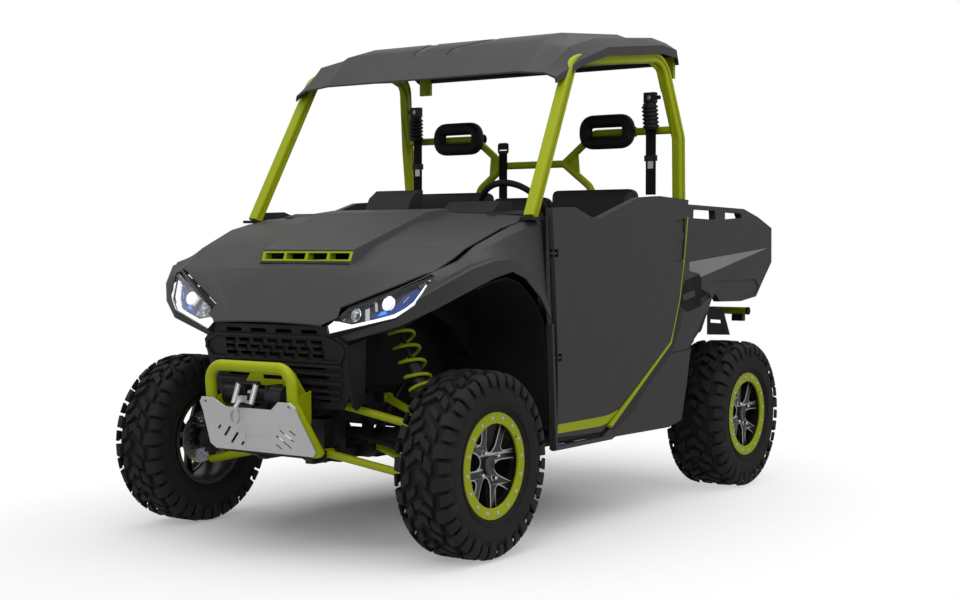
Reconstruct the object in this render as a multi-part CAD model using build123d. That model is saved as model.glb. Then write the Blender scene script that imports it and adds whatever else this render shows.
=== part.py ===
from build123d import *
import os
from math import atan2, cos, degrees, hypot, radians, sin, sqrt

# Side by side utility vehicle, three seats, tipping cargo bed.
# Millimetres. Front is -Y, the vehicle's left is +X, up is +Z.
# The origin is on the ground, midway between the axles, on the centre plane.

# ---- driving dimensions ----
WHEELBASE = 2100
FRONT_AXLE = -WHEELBASE / 2
REAR_AXLE = WHEELBASE / 2
OUTER_HALF = 819              # centre plane to a tyre's outer face
TYRE_RADIUS = 343
FRONT_TYRE_WIDTH = 229
REAR_TYRE_WIDTH = 278
BEAD_RADIUS = 178
CROWN = 325                   # carcass under the tread blocks
TYRE_SIDES = 30
LUG_COUNT = 20
LUG_LENGTH = 50               # along the tread
AXLE_Z = sqrt(TYRE_RADIUS**2 - (LUG_LENGTH / 2) ** 2)
RING_RADIUS = 193             # lime clamp ring, outside
RING_BORE = 152
RING_THICKNESS = 10
RING_INSET = 16               # ring's outer face behind the tyre's outer face
BARREL_WALL = 9
SPOKE_PAIRS = 4
SPOKE_TURN = -12              # first wide gap, from +Y towards +Z
SPOKE_THICKNESS = 20
SPOKE_INSET = 42              # spokes' outer face behind the tyre's outer face
HUB_RADIUS = 46
STUB_RADIUS = 20
BRAKE_DISC_RADIUS = 104
BRAKE_DISC_THICKNESS = 6

KINGPIN_X = 600
FRONT_JOINT_Z = (262, 448)    # lower and upper ball joint
REAR_JOINT_X = 520
REAR_JOINT_Z = (250, 440)
STEER_ARM = 120               # kingpin to tie rod, rearwards
TIE_ROD_Z = 400
PINION_TOP = (175, FRONT_AXLE + STEER_ARM + 62, TIE_ROD_Z + 96)
TIE_ROD_RADIUS = 8
BOOT_RADIUS = 33
KNUCKLE_HALF = (18, 25)       # half sizes along X and Y

PIN_RADIUS = 8
PIN_CLEARANCE = 0.5
SEAM = 6                      # gap between body panels
DOOR_SEAM = 9                 # in front of the doors, which turn about their front edge
PANEL = 5                     # moulded panel thickness

RAIL_X = 120                  # main rails' centre
RAIL_Z = 340
RAIL_SIZE = 40
SILL_X = 660
SILL_Z = 365
TOWER_X = 168                 # front and rear towers' posts
BED_RAIL_X = 330
BED_RAIL_Z = (812, 840)
DIFF_Z = 430
SHAFT_Z = 345
ARM_TUBE = 15
PIVOT_X = 160
LOWER_PIVOT_Z = 356
UPPER_PIVOT = (206, 545)      # x and z
FRONT_PIVOT_Y = (-1215, -925)
REAR_PIVOT_Y = (930, 1190)

CAGE_RADIUS = 23
CROSS_RADIUS = 17
DOOR_TUBE = 14
DOOR_OUT = 772
DOOR_THICKNESS = 32
SIDE_OUT = 768
SIDE_THICKNESS = 24

BED_HALF = 716
BED_WALL = 34
BED_FLOOR = (905, 925)        # floor plate, bottom and top
BED_FRONT = 552
BED_HINGE = (1350, 852)       # y and z of the tipping axis
BED_HINGE_X = 410
TAILGATE_HINGE = (1380, 952)
RECEIVER_OUT = 63.5
RECEIVER_IN = 50.8
RECEIVER_Y = (1290, 1470)
RECEIVER_Z = 400
HITCH_PIN_Y = 1438
HITCH_PIN_RADIUS = 8

WHEEL_CENTRE = (330, -205, 1250)   # steering wheel
WHEEL_RAKE = 33                    # its axis above the horizontal
WHEEL_RADIUS = 180
WHEEL_GRIP = 14

HOOD_HINGE = (-622, 1228)     # y and z
HOOD_LUG_X = 520
DOOR_FRONT = ((-552, 388), (-617, 1272))   # y and z of the door's front edge, bottom and top
DOOR_HINGE_HEIGHTS = (700, 1100)
HINGE_X = 763
HINGE_SETBACK = 8             # hinge axis behind the door's front edge
HINGE_PIN = 4
SHOCK_PIN = 8


# ---- helpers ----
def face_of(points):
    return make_face(Polyline(*points, close=True))


def slab_x(points, x0, x1):
    """A (y, z) outline between two X planes."""
    plane = Plane(origin=(x0, 0, 0), x_dir=(0, 1, 0), z_dir=(1, 0, 0))
    return extrude(plane * face_of(points), amount=x1 - x0)


def slab_y(points, y0, y1):
    """An (x, z) outline between two Y planes."""
    plane = Plane(origin=(0, y1, 0), x_dir=(1, 0, 0), z_dir=(0, -1, 0))
    return extrude(plane * face_of(points), amount=y1 - y0)


def slab_z(points, z0, z1):
    """An (x, y) outline between two Z planes."""
    return extrude(Plane.XY.offset(z0) * face_of(points), amount=z1 - z0)


def block(x, y, z):
    """A box from (low, high) pairs."""
    size = [b - a for a, b in (x, y, z)]
    centre = [(a + b) / 2 for a, b in (x, y, z)]
    return Pos(*centre) * Box(*size)


def rod(p, q, radius):
    """A round bar from p to q."""
    axis = Vector(*q) - Vector(*p)
    return extrude(Plane(origin=p, z_dir=axis) * Circle(radius), amount=axis.length)


def bar(p, q, width, depth, side=(1, 0, 0)):
    """A rectangular bar from p to q; width lies along side."""
    axis = Vector(*q) - Vector(*p)
    plane = Plane(origin=p, x_dir=side, z_dir=axis)
    return extrude(plane * Rectangle(width, depth), amount=axis.length)


def tube(points, radius, bend):
    """A round bar along points, bent with one radius."""
    path = FilletPolyline(*points, radius=bend)
    return sweep(Plane(origin=path @ 0, z_dir=path % 0) * Circle(radius), path=path)


def disc_x(x, y, z, radius, length):
    """A cylinder along +X from x."""
    return rod((x, y, z), (x + length, y, z), radius)


def mirrored(shape):
    return mirror(shape, about=Plane.YZ)


def both(shape):
    return [shape, mirrored(shape)]


def offset_band(points, thickness):
    """A closed band that lies to the right of an open (a, b) polyline."""
    inner = []
    for i, (a, b) in enumerate(points):
        before = points[max(i - 1, 0)]
        after = points[min(i + 1, len(points) - 1)]
        n0 = unit_right(before, (a, b)) if i else unit_right((a, b), after)
        n1 = unit_right((a, b), after) if i < len(points) - 1 else n0
        mid = (n0[0] + n1[0], n0[1] + n1[1])
        scale = thickness * 2 / (mid[0] ** 2 + mid[1] ** 2)
        inner.append((a + mid[0] * scale, b + mid[1] * scale))
    return list(points) + inner[::-1]


def offset_line(points, distance):
    """The open (a, b) polyline moved to its right by a distance."""
    return offset_band(points, distance)[len(points):][::-1]


def solids_of(shapes):
    shapes = shapes if isinstance(shapes, list) else [shapes]
    return [solid for shape in shapes for solid in shape.solids()]


def seat_on(solids, seat):
    """Solids with their overlap of the seat's solids taken away."""
    cut = []
    for solid in solids:
        left = solid - seat
        cut += left.solids()
    return cut


def unit_right(p, q):
    length = hypot(q[0] - p[0], q[1] - p[1])
    return (q[1] - p[1]) / length, -(q[0] - p[0]) / length


# ---- wheels: built about the X axis at the origin, outer face at x = 0, inner side negative ----
def tyre(width):
    """A carcass of flat-sided bands with three rows of tread blocks."""
    half = [  # distance from the outer face, radius
        (26, RING_RADIUS + 2),
        (4, 246),
        (16, 298),
        (34, CROWN),
    ]
    rows = half + [(width - a, r) for a, r in half[::-1]]
    rings = []
    for a, r in rows:
        plane = Plane(origin=(-a, 0, 0), x_dir=(0, 1, 0), z_dir=(1, 0, 0))
        rings.append(plane * RegularPolygon(r, TYRE_SIDES))
    carcass = loft(rings, ruled=True)
    bore = disc_x(-width, 0, 0, BEAD_RADIUS, width)
    return carcass.fuse(*tyre_lugs(width)) - bore


def tyre_lugs(width):
    flat = AXLE_Z
    section = [  # shoulder block, minus distance from the outer face and radius
        (-0.32 * width, CROWN - 12),
        (-0.32 * width, flat),
        (-16, flat - 4),
        (-1, 318),
        (0, 286),
        (-20, 280),
    ]
    shoulder = slab_y(section, -LUG_LENGTH / 2, LUG_LENGTH / 2)
    pitch = 360 / LUG_COUNT
    middle = width / 2
    far = mirror(shoulder, about=Plane.YZ.offset(-middle))
    centre = Pos(-middle, 0, flat - 18) * Rot(Z=28) * Box(0.27 * width, 40, 30)
    blocks = []
    for i in range(LUG_COUNT):
        blocks.append(Rot(X=i * pitch) * shoulder)
        blocks.append(Rot(X=(i + 0.5) * pitch) * far)
        blocks.append(Rot(X=(i + 0.25) * pitch) * centre)
    return blocks


def polar(radius, angle):
    return radius * cos(radians(angle)), radius * sin(radians(angle))


def rim(width, stub_length):
    """Barrel, spokes, hub, brake disc and stub axle."""
    barrel_in = BEAD_RADIUS - BARREL_WALL
    inner_edge = -width + 26
    profile = [
        (-26, barrel_in),
        (-26, BEAD_RADIUS),
        (inner_edge, BEAD_RADIUS),
        (inner_edge, RING_RADIUS - 4),
        (inner_edge - 7, RING_RADIUS - 4),
        (inner_edge - 7, barrel_in),
    ]
    wheel = revolve(Plane.XZ * face_of(profile), Axis.X)
    face_x = -SPOKE_INSET
    back_x = face_x - SPOKE_THICKNESS
    spider = disc_x(back_x, 0, 0, barrel_in + 2, SPOKE_THICKNESS)
    step = 360 / SPOKE_PAIRS
    wide = [(47, 12), (74, 21), (158, 15.5), (161, 0)]      # radius and angle of a gap's half outline
    narrow = [(98, 5), (158, 16.5), (161, 0)]
    for half, phase in ((wide, SPOKE_TURN), (narrow, SPOKE_TURN + step / 2)):
        window = [polar(r, -a) for r, a in half] + [polar(r, a) for r, a in half[-2::-1]]
        cutter = slab_x(window, back_x - 1, face_x + 1)
        spider -= [Rot(X=phase + i * step) * cutter for i in range(SPOKE_PAIRS)]
    disc_at = -160
    hub = disc_x(disc_at, 0, 0, HUB_RADIUS, face_x - 6 - disc_at)
    cap = disc_x(face_x - 8, 0, 0, 30, 14)
    brake = disc_x(disc_at, 0, 0, BRAKE_DISC_RADIUS, BRAKE_DISC_THICKNESS)
    stub = disc_x(disc_at - stub_length, 0, 0, STUB_RADIUS, stub_length)
    return wheel.fuse(spider, hub, cap, brake, stub)


def clamp_ring():
    outer = disc_x(-RING_INSET - RING_THICKNESS, 0, 0, RING_RADIUS, RING_THICKNESS)
    return outer - disc_x(-RING_INSET - RING_THICKNESS, 0, 0, RING_BORE, RING_THICKNESS)


def place_wheel(shape, axle, side):
    moved = Pos(OUTER_HALF, axle, AXLE_Z) * shape
    return moved if side > 0 else mirrored(moved)


# ---- steering and suspension ----
def knuckle():
    half_x, half_y = KNUCKLE_HALF
    low, high = FRONT_JOINT_Z
    x = (KINGPIN_X - half_x, KINGPIN_X + half_x)
    y = (FRONT_AXLE - half_y, FRONT_AXLE + half_y)
    body = block(x, y, (low + 26, high - 26))
    for z0, z1 in ((low + 13, low + 40), (high - 40, high - 13)):
        body += rod((KINGPIN_X, FRONT_AXLE, z0), (KINGPIN_X, FRONT_AXLE, z1), 15)
    body += disc_x(x[0], FRONT_AXLE, AXLE_Z, 42, 2 * half_x + 12)
    arm_z = (TIE_ROD_Z - 20, TIE_ROD_Z - 8)
    pin_y = FRONT_AXLE + STEER_ARM
    body += block((KINGPIN_X - 12, KINGPIN_X + 12), (FRONT_AXLE, pin_y + 12), arm_z)
    body += rod((KINGPIN_X, pin_y, arm_z[1] - 1), (KINGPIN_X, pin_y, TIE_ROD_Z + 12), PIN_RADIUS)
    body -= disc_x(x[0] - 1, FRONT_AXLE, AXLE_Z, STUB_RADIUS + PIN_CLEARANCE, 60)
    for z0, z1 in ((low, low + 40), (high - 40, high)):
        body -= rod((KINGPIN_X, FRONT_AXLE, z0), (KINGPIN_X, FRONT_AXLE, z1), PIN_RADIUS + PIN_CLEARANCE)
    return body


def tie_rod():
    y = FRONT_AXLE + STEER_ARM
    eye = rod((KINGPIN_X, y, TIE_ROD_Z - 3), (KINGPIN_X, y, TIE_ROD_Z + 9), 16)
    link = rod((262, y, TIE_ROD_Z), (KINGPIN_X - 10, y, TIE_ROD_Z + 3), TIE_ROD_RADIUS)
    hole = rod((KINGPIN_X, y, TIE_ROD_Z - 10), (KINGPIN_X, y, TIE_ROD_Z + 12), PIN_RADIUS + PIN_CLEARANCE)
    return eye + link - hole


def steering_gear():
    y = FRONT_AXLE + STEER_ARM
    rack = rod((-195, y, TIE_ROD_Z), (195, y, TIE_ROD_Z), 21)
    for side in (-1, 1):
        boot = rod((side * 192, y, TIE_ROD_Z), (side * 330, y, TIE_ROD_Z), BOOT_RADIUS)
        boot -= rod((side * 196, y, TIE_ROD_Z), (side * 331, y, TIE_ROD_Z), BOOT_RADIUS - 3)
        rack += boot
        rack += block((side * 120 - 14, side * 120 + 14), (y - 12, y + 12),
                      (RAIL_Z + RAIL_SIZE / 2, TIE_ROD_Z))
    return rack + rod((165, y + 4, TIE_ROD_Z), PINION_TOP, 17)


def wishbone(eye_x, axle, eye_z, pivot_x, pivot_z, pivots, up):
    """Two legs, two pivot sleeves and the outer eye with its pin."""
    eye = (eye_x, axle, eye_z)
    arm = rod((eye_x, axle, eye_z - 7), (eye_x, axle, eye_z + 7), 19)
    for y in pivots:
        lean = 0.05 * (y - axle)
        arm += rod((pivot_x + 6, y, pivot_z), (eye_x - 24, axle + 3 * lean, eye_z), ARM_TUBE)
        arm += rod((eye_x - 24, axle + 3 * lean, eye_z), (eye_x - 8, axle + lean, eye_z), 7)
        arm += rod((pivot_x, y - 26, pivot_z), (pivot_x, y + 26, pivot_z), ARM_TUBE + 3)
    direction = 1 if up else -1
    return arm + rod(eye, (eye_x, axle, eye_z + direction * 36), PIN_RADIUS)


def front_arms():
    low, high = FRONT_JOINT_Z
    lower = wishbone(KINGPIN_X, FRONT_AXLE, low, PIVOT_X, LOWER_PIVOT_Z, FRONT_PIVOT_Y, True)
    upper = wishbone(KINGPIN_X, FRONT_AXLE, high, *UPPER_PIVOT, FRONT_PIVOT_Y, False)
    upper = upper.fuse(*shock_mount(SHOCKS[0][1]))
    shapes = []
    for arm in (lower, upper):
        shapes += both(arm)
    return shapes


def shock_mount(point):
    """Two cheeks on the upper arm's legs and the pin of the shock absorber's lower eye."""
    x, y, z = point
    parts = [rod((x, y - 40, z), (x, y + 40, z), SHOCK_PIN)]
    for s in (-1, 1):
        low, high = sorted((y + s * 19, y + s * 40))
        parts.append(block((x - 12, x + 12), (low, high), (z - 34, z + 10)))
    return parts


def rear_arms():
    low, high = REAR_JOINT_Z
    x = REAR_JOINT_X
    upright = block((x - 18, x + 18), (REAR_AXLE - 25, REAR_AXLE + 25), (low, high))
    upright += disc_x(x - 18, REAR_AXLE, AXLE_Z, 46, 36 + 12)
    shape = upright.fuse(*shock_mount(SHOCKS[1][1]))
    for eye_z, pivot_x, pivot_z in ((low, PIVOT_X, LOWER_PIVOT_Z), (high, *UPPER_PIVOT)):
        for y in REAR_PIVOT_Y:
            end = (x, REAR_AXLE + (y - REAR_AXLE) * 0.1, eye_z)
            shape += rod((pivot_x + 6, y, pivot_z), end, ARM_TUBE)
            shape += rod((pivot_x, y - 26, pivot_z), (pivot_x, y + 26, pivot_z), ARM_TUBE + 3)
    shape -= disc_x(x - 17, REAR_AXLE, AXLE_Z, STUB_RADIUS + PIN_CLEARANCE, 80)
    return both(shape)


# shock absorbers: name, top point, bottom point
SHOCKS = [
    ((338, FRONT_AXLE, 893), (528, FRONT_AXLE, 500)),
    ((300, REAR_AXLE, 800), (452, REAR_AXLE, 490)),
]
COIL_RADIUS = 44
COIL_WIRE = 7
COIL_TURNS = 5


def along(p, q, distance):
    axis = (Vector(*q) - Vector(*p)).normalized()
    return Vector(*p) + axis * distance


def damper(top, bottom):
    length = (Vector(*bottom) - Vector(*top)).length
    reach = COIL_RADIUS + COIL_WIRE + 1
    cup = rod(along(top, bottom, 22), along(top, bottom, 32), reach)
    seat = rod(along(top, bottom, length - 112), along(top, bottom, length - 100), reach)
    body = rod(along(top, bottom, length - 160), along(top, bottom, length - 24), 26)
    shaft = rod(along(top, bottom, 0), along(top, bottom, length - 159), 9)
    eyes = [rod((p[0], p[1] - 17, p[2]), (p[0], p[1] + 17, p[2]), 17) for p in (top, bottom)]
    stem = rod(along(top, bottom, length - 25), bottom, 12)
    return shaft.fuse(cup, seat, body, stem, *eyes)


def coil(top, bottom):
    length = (Vector(*bottom) - Vector(*top)).length
    first = 32 + COIL_WIRE + 0.5
    run = length - 112 - COIL_WIRE - 0.5 - first
    axis = Vector(*bottom) - Vector(*top)
    helix = Helix(pitch=run / COIL_TURNS, height=run, radius=COIL_RADIUS)
    wire = Plane(origin=helix @ 0, z_dir=helix % 0) * RegularPolygon(COIL_WIRE, 5)
    spring = sweep(wire, path=helix, is_frenet=True)
    frame = Plane(origin=along(top, bottom, first), x_dir=(0, 1, 0), z_dir=axis)
    return frame * spring


def driveline():
    """Differential, gearbox and the shaft between them."""
    front = block((-76, 76), (FRONT_AXLE - 85, FRONT_AXLE + 66), (322, 470))
    rear = block((-92, 92), (REAR_AXLE - 160, REAR_AXLE + 95), (322, 470))
    shaft = rod((0, FRONT_AXLE + 65, SHAFT_Z), (0, REAR_AXLE - 159, SHAFT_Z), 15)
    return front.fuse(rear, shaft)


def half_shafts():
    """Drive shafts that slope from the differential down to the hubs."""
    shafts = []
    for axle, start, end in ((FRONT_AXLE, 76, KINGPIN_X - 48), (REAR_AXLE, 92, REAR_JOINT_X - 18)):
        inner = Vector(start, axle, DIFF_Z)
        outer = Vector(end, axle, AXLE_Z)
        shaft = rod(inner, outer, 12)
        shaft += disc_x(start, axle, DIFF_Z, 32, 34)
        shaft += disc_x(end - 42, axle, AXLE_Z, 32, 42)
        shafts += both(shaft)
    return shafts


# ---- frame ----
def square(p, q, side=(1, 0, 0), size=RAIL_SIZE):
    return bar(p, q, size, size, side)


def frame():
    """Welded chassis: rails, sills, front tower, rear subframe, hinge tube and receiver."""
    half = RAIL_SIZE / 2
    rail_z = (RAIL_Z - half, RAIL_Z + half)
    rear_block_y = (RECEIVER_Y[0] - 40, RECEIVER_Y[0])
    front_y = FRONT_PIVOT_Y[0] + 60, FRONT_PIVOT_Y[1] - 60
    rear_y = REAR_PIVOT_Y[0] + 60, REAR_PIVOT_Y[1] - 60
    parts = []
    # cross members: nose, front tower, rear tower, rear end, and the tube that the bed tips on
    parts.append(block((-215, 215), (-1352, -1316), (352, 388)))
    parts.append(block((-321, 321), (FRONT_AXLE - 20, FRONT_AXLE + 20), (862, 886)))
    parts.append(block((-270, 270), (REAR_AXLE - 20, REAR_AXLE + 20), (784, 812)))
    parts.append(block((-BED_RAIL_X - 17, BED_RAIL_X + 17), rear_block_y, (RAIL_Z - half, RECEIVER_Z + 32)))
    parts.append(rod((-668, BED_HINGE[0], 812), (668, BED_HINGE[0], 812), 18))
    for s in (-1, 1):
        parts.append(block((s * RAIL_X - half, s * RAIL_X + half), (-1270, rear_block_y[0] + 5), rail_z))
        parts.append(square((s * RAIL_X, -1255, RAIL_Z), (s * 150, -1330, 370), size=34))
        parts.append(block((s * SILL_X - half, s * SILL_X + half), (-580, 520),
                           (SILL_Z - half, SILL_Z + half)))
        for y in (-560, -60, 500):
            parts.append(block(span(s, RAIL_X, SILL_X), (y - half, y + half), (325, 365)))
        for y in front_y:
            lean = 0.1 * (y - FRONT_AXLE)
            parts.append(square((s * TOWER_X, y, RAIL_Z), (s * TOWER_X, y, 620), size=34))
            parts.append(square((s * TOWER_X, y, 610), (s * 246, FRONT_AXLE + lean, 872), (0, 1, 0), 30))
        parts.append(block((s * TOWER_X - 17, s * TOWER_X + 17), front_y, (600, 634)))
        for y in rear_y:
            parts.append(square((s * TOWER_X, y, RAIL_Z), (s * TOWER_X, y, 800), size=34))
        parts.append(block((s * TOWER_X - 17, s * TOWER_X + 17), rear_y, (784, 812)))
        for y in front_y + rear_y:
            parts.append(block(span(s, RAIL_X, TOWER_X + 17), (y - 17, y + 17), rail_z))
        parts += pivot_brackets(s)
        # posts to the cage's front feet and to the bed rails
        parts.append(square((s * SILL_X, -572, SILL_Z), (s * 690, -640, 1190), (0, 1, 0), 34))
        parts.append(square((s * 240, FRONT_AXLE + 10, 880), (s * 676, -646, 1150), (0, 0, 1), 30))
        parts.append(square((s * BED_RAIL_X, 500, 345), (s * BED_RAIL_X, 500, BED_RAIL_Z[0] + 5), size=34))
        parts.append(block((s * BED_RAIL_X - 17, s * BED_RAIL_X + 17), (483, BED_HINGE[0] + 10), BED_RAIL_Z))
        parts.append(square((s * BED_RAIL_X, rear_block_y[0] + 20, 400), (s * BED_RAIL_X, BED_HINGE[0], 812),
                            (0, 1, 0), 34))
        for ear in (-23, 15):
            x = s * BED_HINGE_X + ear
            parts.append(disc_x(x, *BED_HINGE, 13, 8))
            parts.append(block((x, x + 8), (BED_HINGE[0] - 13, BED_HINGE[0] + 13), (812, BED_HINGE[1])))
        parts.append(disc_x(s * BED_HINGE_X - 23, *BED_HINGE, PIN_RADIUS, 46))
        parts += door_brackets(s)
    out = RECEIVER_OUT / 2
    inside = RECEIVER_IN / 2
    parts.append(block((-out, out), (RECEIVER_Y[0] - 1, RECEIVER_Y[1]),
                       (RECEIVER_Z - out, RECEIVER_Z + out)))
    shape = parts[0].fuse(*parts[1:])
    shape -= block((-inside, inside), (RECEIVER_Y[0] + 1, RECEIVER_Y[1] + 1),
                   (RECEIVER_Z - inside, RECEIVER_Z + inside))
    shape -= disc_x(-40, HITCH_PIN_Y, RECEIVER_Z, HITCH_PIN_RADIUS, 80)
    for s in (-1, 1):
        for z in DOOR_HINGE_HEIGHTS:
            shape -= rod(hinge_point(s, z - 20), hinge_point(s, z + 20), HINGE_PIN + PIN_CLEARANCE)
    return shape


def span(side, a, b):
    """Low and high X of a piece between a and b on one side."""
    return (a, b) if side > 0 else (-b, -a)


def pivot_brackets(side):
    """Cheeks on both sides of each wishbone pivot, and the plates behind the upper ones."""
    plates = []
    x, z = UPPER_PIVOT
    for pair in (FRONT_PIVOT_Y, REAR_PIVOT_Y):
        plates.append(block(span(side, TOWER_X + 10, x - ARM_TUBE - 3), (pair[0] - 34, pair[1] + 34),
                            (z - 20, z + 20)))
        for y in pair:
            for y0 in (y - 34, y + 26):
                plates.append(block(span(side, TOWER_X + 10, x + 16), (y0, y0 + 8), (z - 20, z + 20)))
                plates.append(block(span(side, RAIL_X, PIVOT_X + 20), (y0, y0 + 8),
                                    (RAIL_Z - 14, LOWER_PIVOT_Z + 16)))
    return plates


def hinge_point(side, z):
    """A point on a door's hinge axis, which is parallel to the door's front edge."""
    low, high = DOOR_FRONT
    share = (z - low[1]) / (high[1] - low[1])
    return side * HINGE_X, low[0] + share * (high[0] - low[0]) + HINGE_SETBACK, z


def door_brackets(side):
    """Plates from the front post to the eyes that the door's pins turn in."""
    plates = []
    for z in DOOR_HINGE_HEIGHTS:
        x, y, _ = hinge_point(1, z)
        outline = [(662, y - 38), (694, y - 38), (x - 8, y - 9), (x + 10, y - 7), (x + 10, y + 8),
                   (x - 12, y + 8), (662, y - 8)]
        plate = slab_z(outline, z - 4, z + 4)
        plates.append(plate if side > 0 else mirrored(plate))
    return plates


def belly_pan():
    """A shallow tray under the rails."""
    low = RAIL_Z - RAIL_SIZE / 2 - 14
    pan = block((-142, 142), (-900, 1180), (low, RAIL_Z - RAIL_SIZE / 2))
    return pan - block((-138, 138), (-896, 1176), (low + 4, RAIL_Z))


# ---- cage ----
CAGE_ROUTE = [(708, -674, 1236), (672, -322, 1868), (700, 376, 1945), (745, 457, 1600), (735, 484, 1262)]


def cage_side():
    """A-post, roof rail and B-post in one bent tube with grooved faces, and the door frame below."""
    path = FilletPolyline(*CAGE_ROUTE, radius=95)
    r = CAGE_RADIUS
    start = Plane(origin=path @ 0, x_dir=(1, 0, 0), z_dir=path % 0)
    section = RectangleRounded(2 * r, 2 * r, 9)
    for s in (-1, 1):
        section -= Pos(s * r, 0) * Rectangle(9, 12)
    shape = sweep(start * section, path=path)
    line = offset_line(DOOR_LINE[:-1], -6)
    heights = [742, 745, 744, 742, 722]
    route = [(x, *p) for x, p in zip(heights, line)] + [(722, -545, 374)]
    shape += tube(route, DOOR_TUBE, 60)
    shape += rod((735, 490, 1262), (742, line[0][0] - 1, line[0][1] - 12), DOOR_TUBE)
    shape += block((684, 742), (-712, -640), (1226, 1238))
    # corner gusset with lightening holes, and the crossbar's plate
    gusset = slab_x([(230, 1925), (395, 1935), (425, 1780), (388, 1800), (345, 1888)], 694, 702)
    for y, z in ((372, 1900), (392, 1860), (402, 1822)):
        gusset -= disc_x(690, y, z, 9, 20)
    shape += gusset
    return shape + slab_x([(392, 1752), (436, 1752), (470, 1560), (505, 1560), (520, 1500),
                           (462, 1470)], 730, 736)


def cage_cross():
    """Rear cross bars with their lower legs, and the roof's front and rear headers."""
    y = 447
    r = CROSS_RADIUS
    bars = [rod((-165, y, 1505), (165, y, 1505), r)]
    for s in (-1, 1):
        bars.append(tube([(s * 716.5, y, 1636), (s * 330, y, 1636), (s * 165, y, 1505)], r, 30))
        leg = [(s * 165, y, 1505), (s * 300, y, 1400), (s * BED_RAIL_X, y + 8, 1330),
               (s * BED_RAIL_X, 500, 840)]
        bars.append(tube(leg, r, 60))
        bars.append(slab_y([(s * 240, 1560), (s * 172, 1506), (s * 250, 1440)], y - 3, y + 3))
    cross = bars[0].fuse(*bars[1:])
    return [cross, rod((-650, -280, 1872), (650, -280, 1872), r),
            rod((-673, 290, 1935), (673, 290, 1935), r)]


# ---- roof ----
# y, half width, then heights: flange bottom, edge, shoulder, foot of the raised centre, crown
ROOF_STATIONS = [
    (-440, 680, 1766, 1790, 1812, 1820, 1824),
    (-300, 712, 1844, 1870, 1926, 1944, 1960),
    (-110, 726, 1904, 1938, 1980, 1996, 2014),
    (350, 730, 1956, 1994, 2030, 2040, 2058),
    (478, 728, 1950, 1986, 2022, 2032, 2050),
    (512, 718, 1925, 1950, 1975, 1985, 1992),
]
ROOF_WALL = 7


def roof_section(y, half, flange, edge, shoulder, foot, crown, inset=0):
    side = [(half - inset, flange), (half - inset - 4, edge - inset), (half - 60, shoulder - inset),
            (530, foot - inset), (496, crown - inset)]
    points = side + [(-x, z) for x, z in side[::-1]]
    return Plane(origin=(0, y, 0), x_dir=(1, 0, 0), z_dir=(0, -1, 0)) * face_of(points)


def roof():
    outer = loft([roof_section(*row) for row in ROOF_STATIONS], ruled=True)
    rows = [(y, half, flange - 5, *rest) for y, half, flange, *rest in ROOF_STATIONS]
    inner = loft([roof_section(*row, inset=ROOF_WALL) for row in rows], ruled=True)
    keep = block((-900, 900), (-460, ROOF_STATIONS[-1][0] - ROOF_WALL), (1700, 2100))
    shell = outer - (inner & keep)
    skin = channel_cutter()
    for s in (-1, 1):
        shell += block(span(s, 636, 700), (494, 511), (1866, 1960))
        # moulded channels across the crown
        run = [(s * 60, -330), (s * 110, -330), (s * 330, 300), (s * 280, 300)]
        shell -= slab_z(run, 1700, 2100) & skin
    return shell


def channel_cutter():
    """A skin 3 mm deep under the roof's surface."""
    deep = loft([roof_section(*row, inset=3) for row in ROOF_STATIONS], ruled=True)
    tall = [(y, half + 20, *[z + 60 for z in heights]) for y, half, *heights in ROOF_STATIONS]
    return loft([roof_section(*row) for row in tall], ruled=True) - deep


# ---- hood and front body ----
HOOD_STATIONS = [  # y, half width, centre height, edge height
    (-1372, 272, 852, 844),
    (-1190, 632, 1042, 1028),
    (-1040, 664, 1132, 1118),
    (-840, 686, 1216, 1196),
    (-640, 696, 1264, 1240),
]
SCOOP_STATIONS = [  # y, half width, top height, underside height
    (-1160, 236, 1066, 1050),
    (-1138, 238, 1114, 1065),
    (-760, 300, 1262, 1232),
    (-640, 306, 1276, 1256),
]


def hood_band(y, half, centre, edge):
    plane = Plane(origin=(0, y, 0), x_dir=(1, 0, 0), z_dir=(0, -1, 0))
    top = ThreePointArc((-half, edge), (0, centre), (half, edge))
    right = Line((half, edge), (half, edge - PANEL))
    under = ThreePointArc((half, edge - PANEL), (0, centre - PANEL), (-half, edge - PANEL))
    left = Line((-half, edge - PANEL), (-half, edge))
    return plane * make_face(top + right + under + left)


def scoop_section(y, half, top, under, inset=0, drop=0):
    flare = 12
    z1 = top - inset
    z0 = under - drop
    points = [(-half + inset, z0), (-half + flare + inset, z1), (half - flare - inset, z1),
              (half - inset, z0)]
    return Plane(origin=(0, y, 0), x_dir=(1, 0, 0), z_dir=(0, -1, 0)) * face_of(points)


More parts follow.
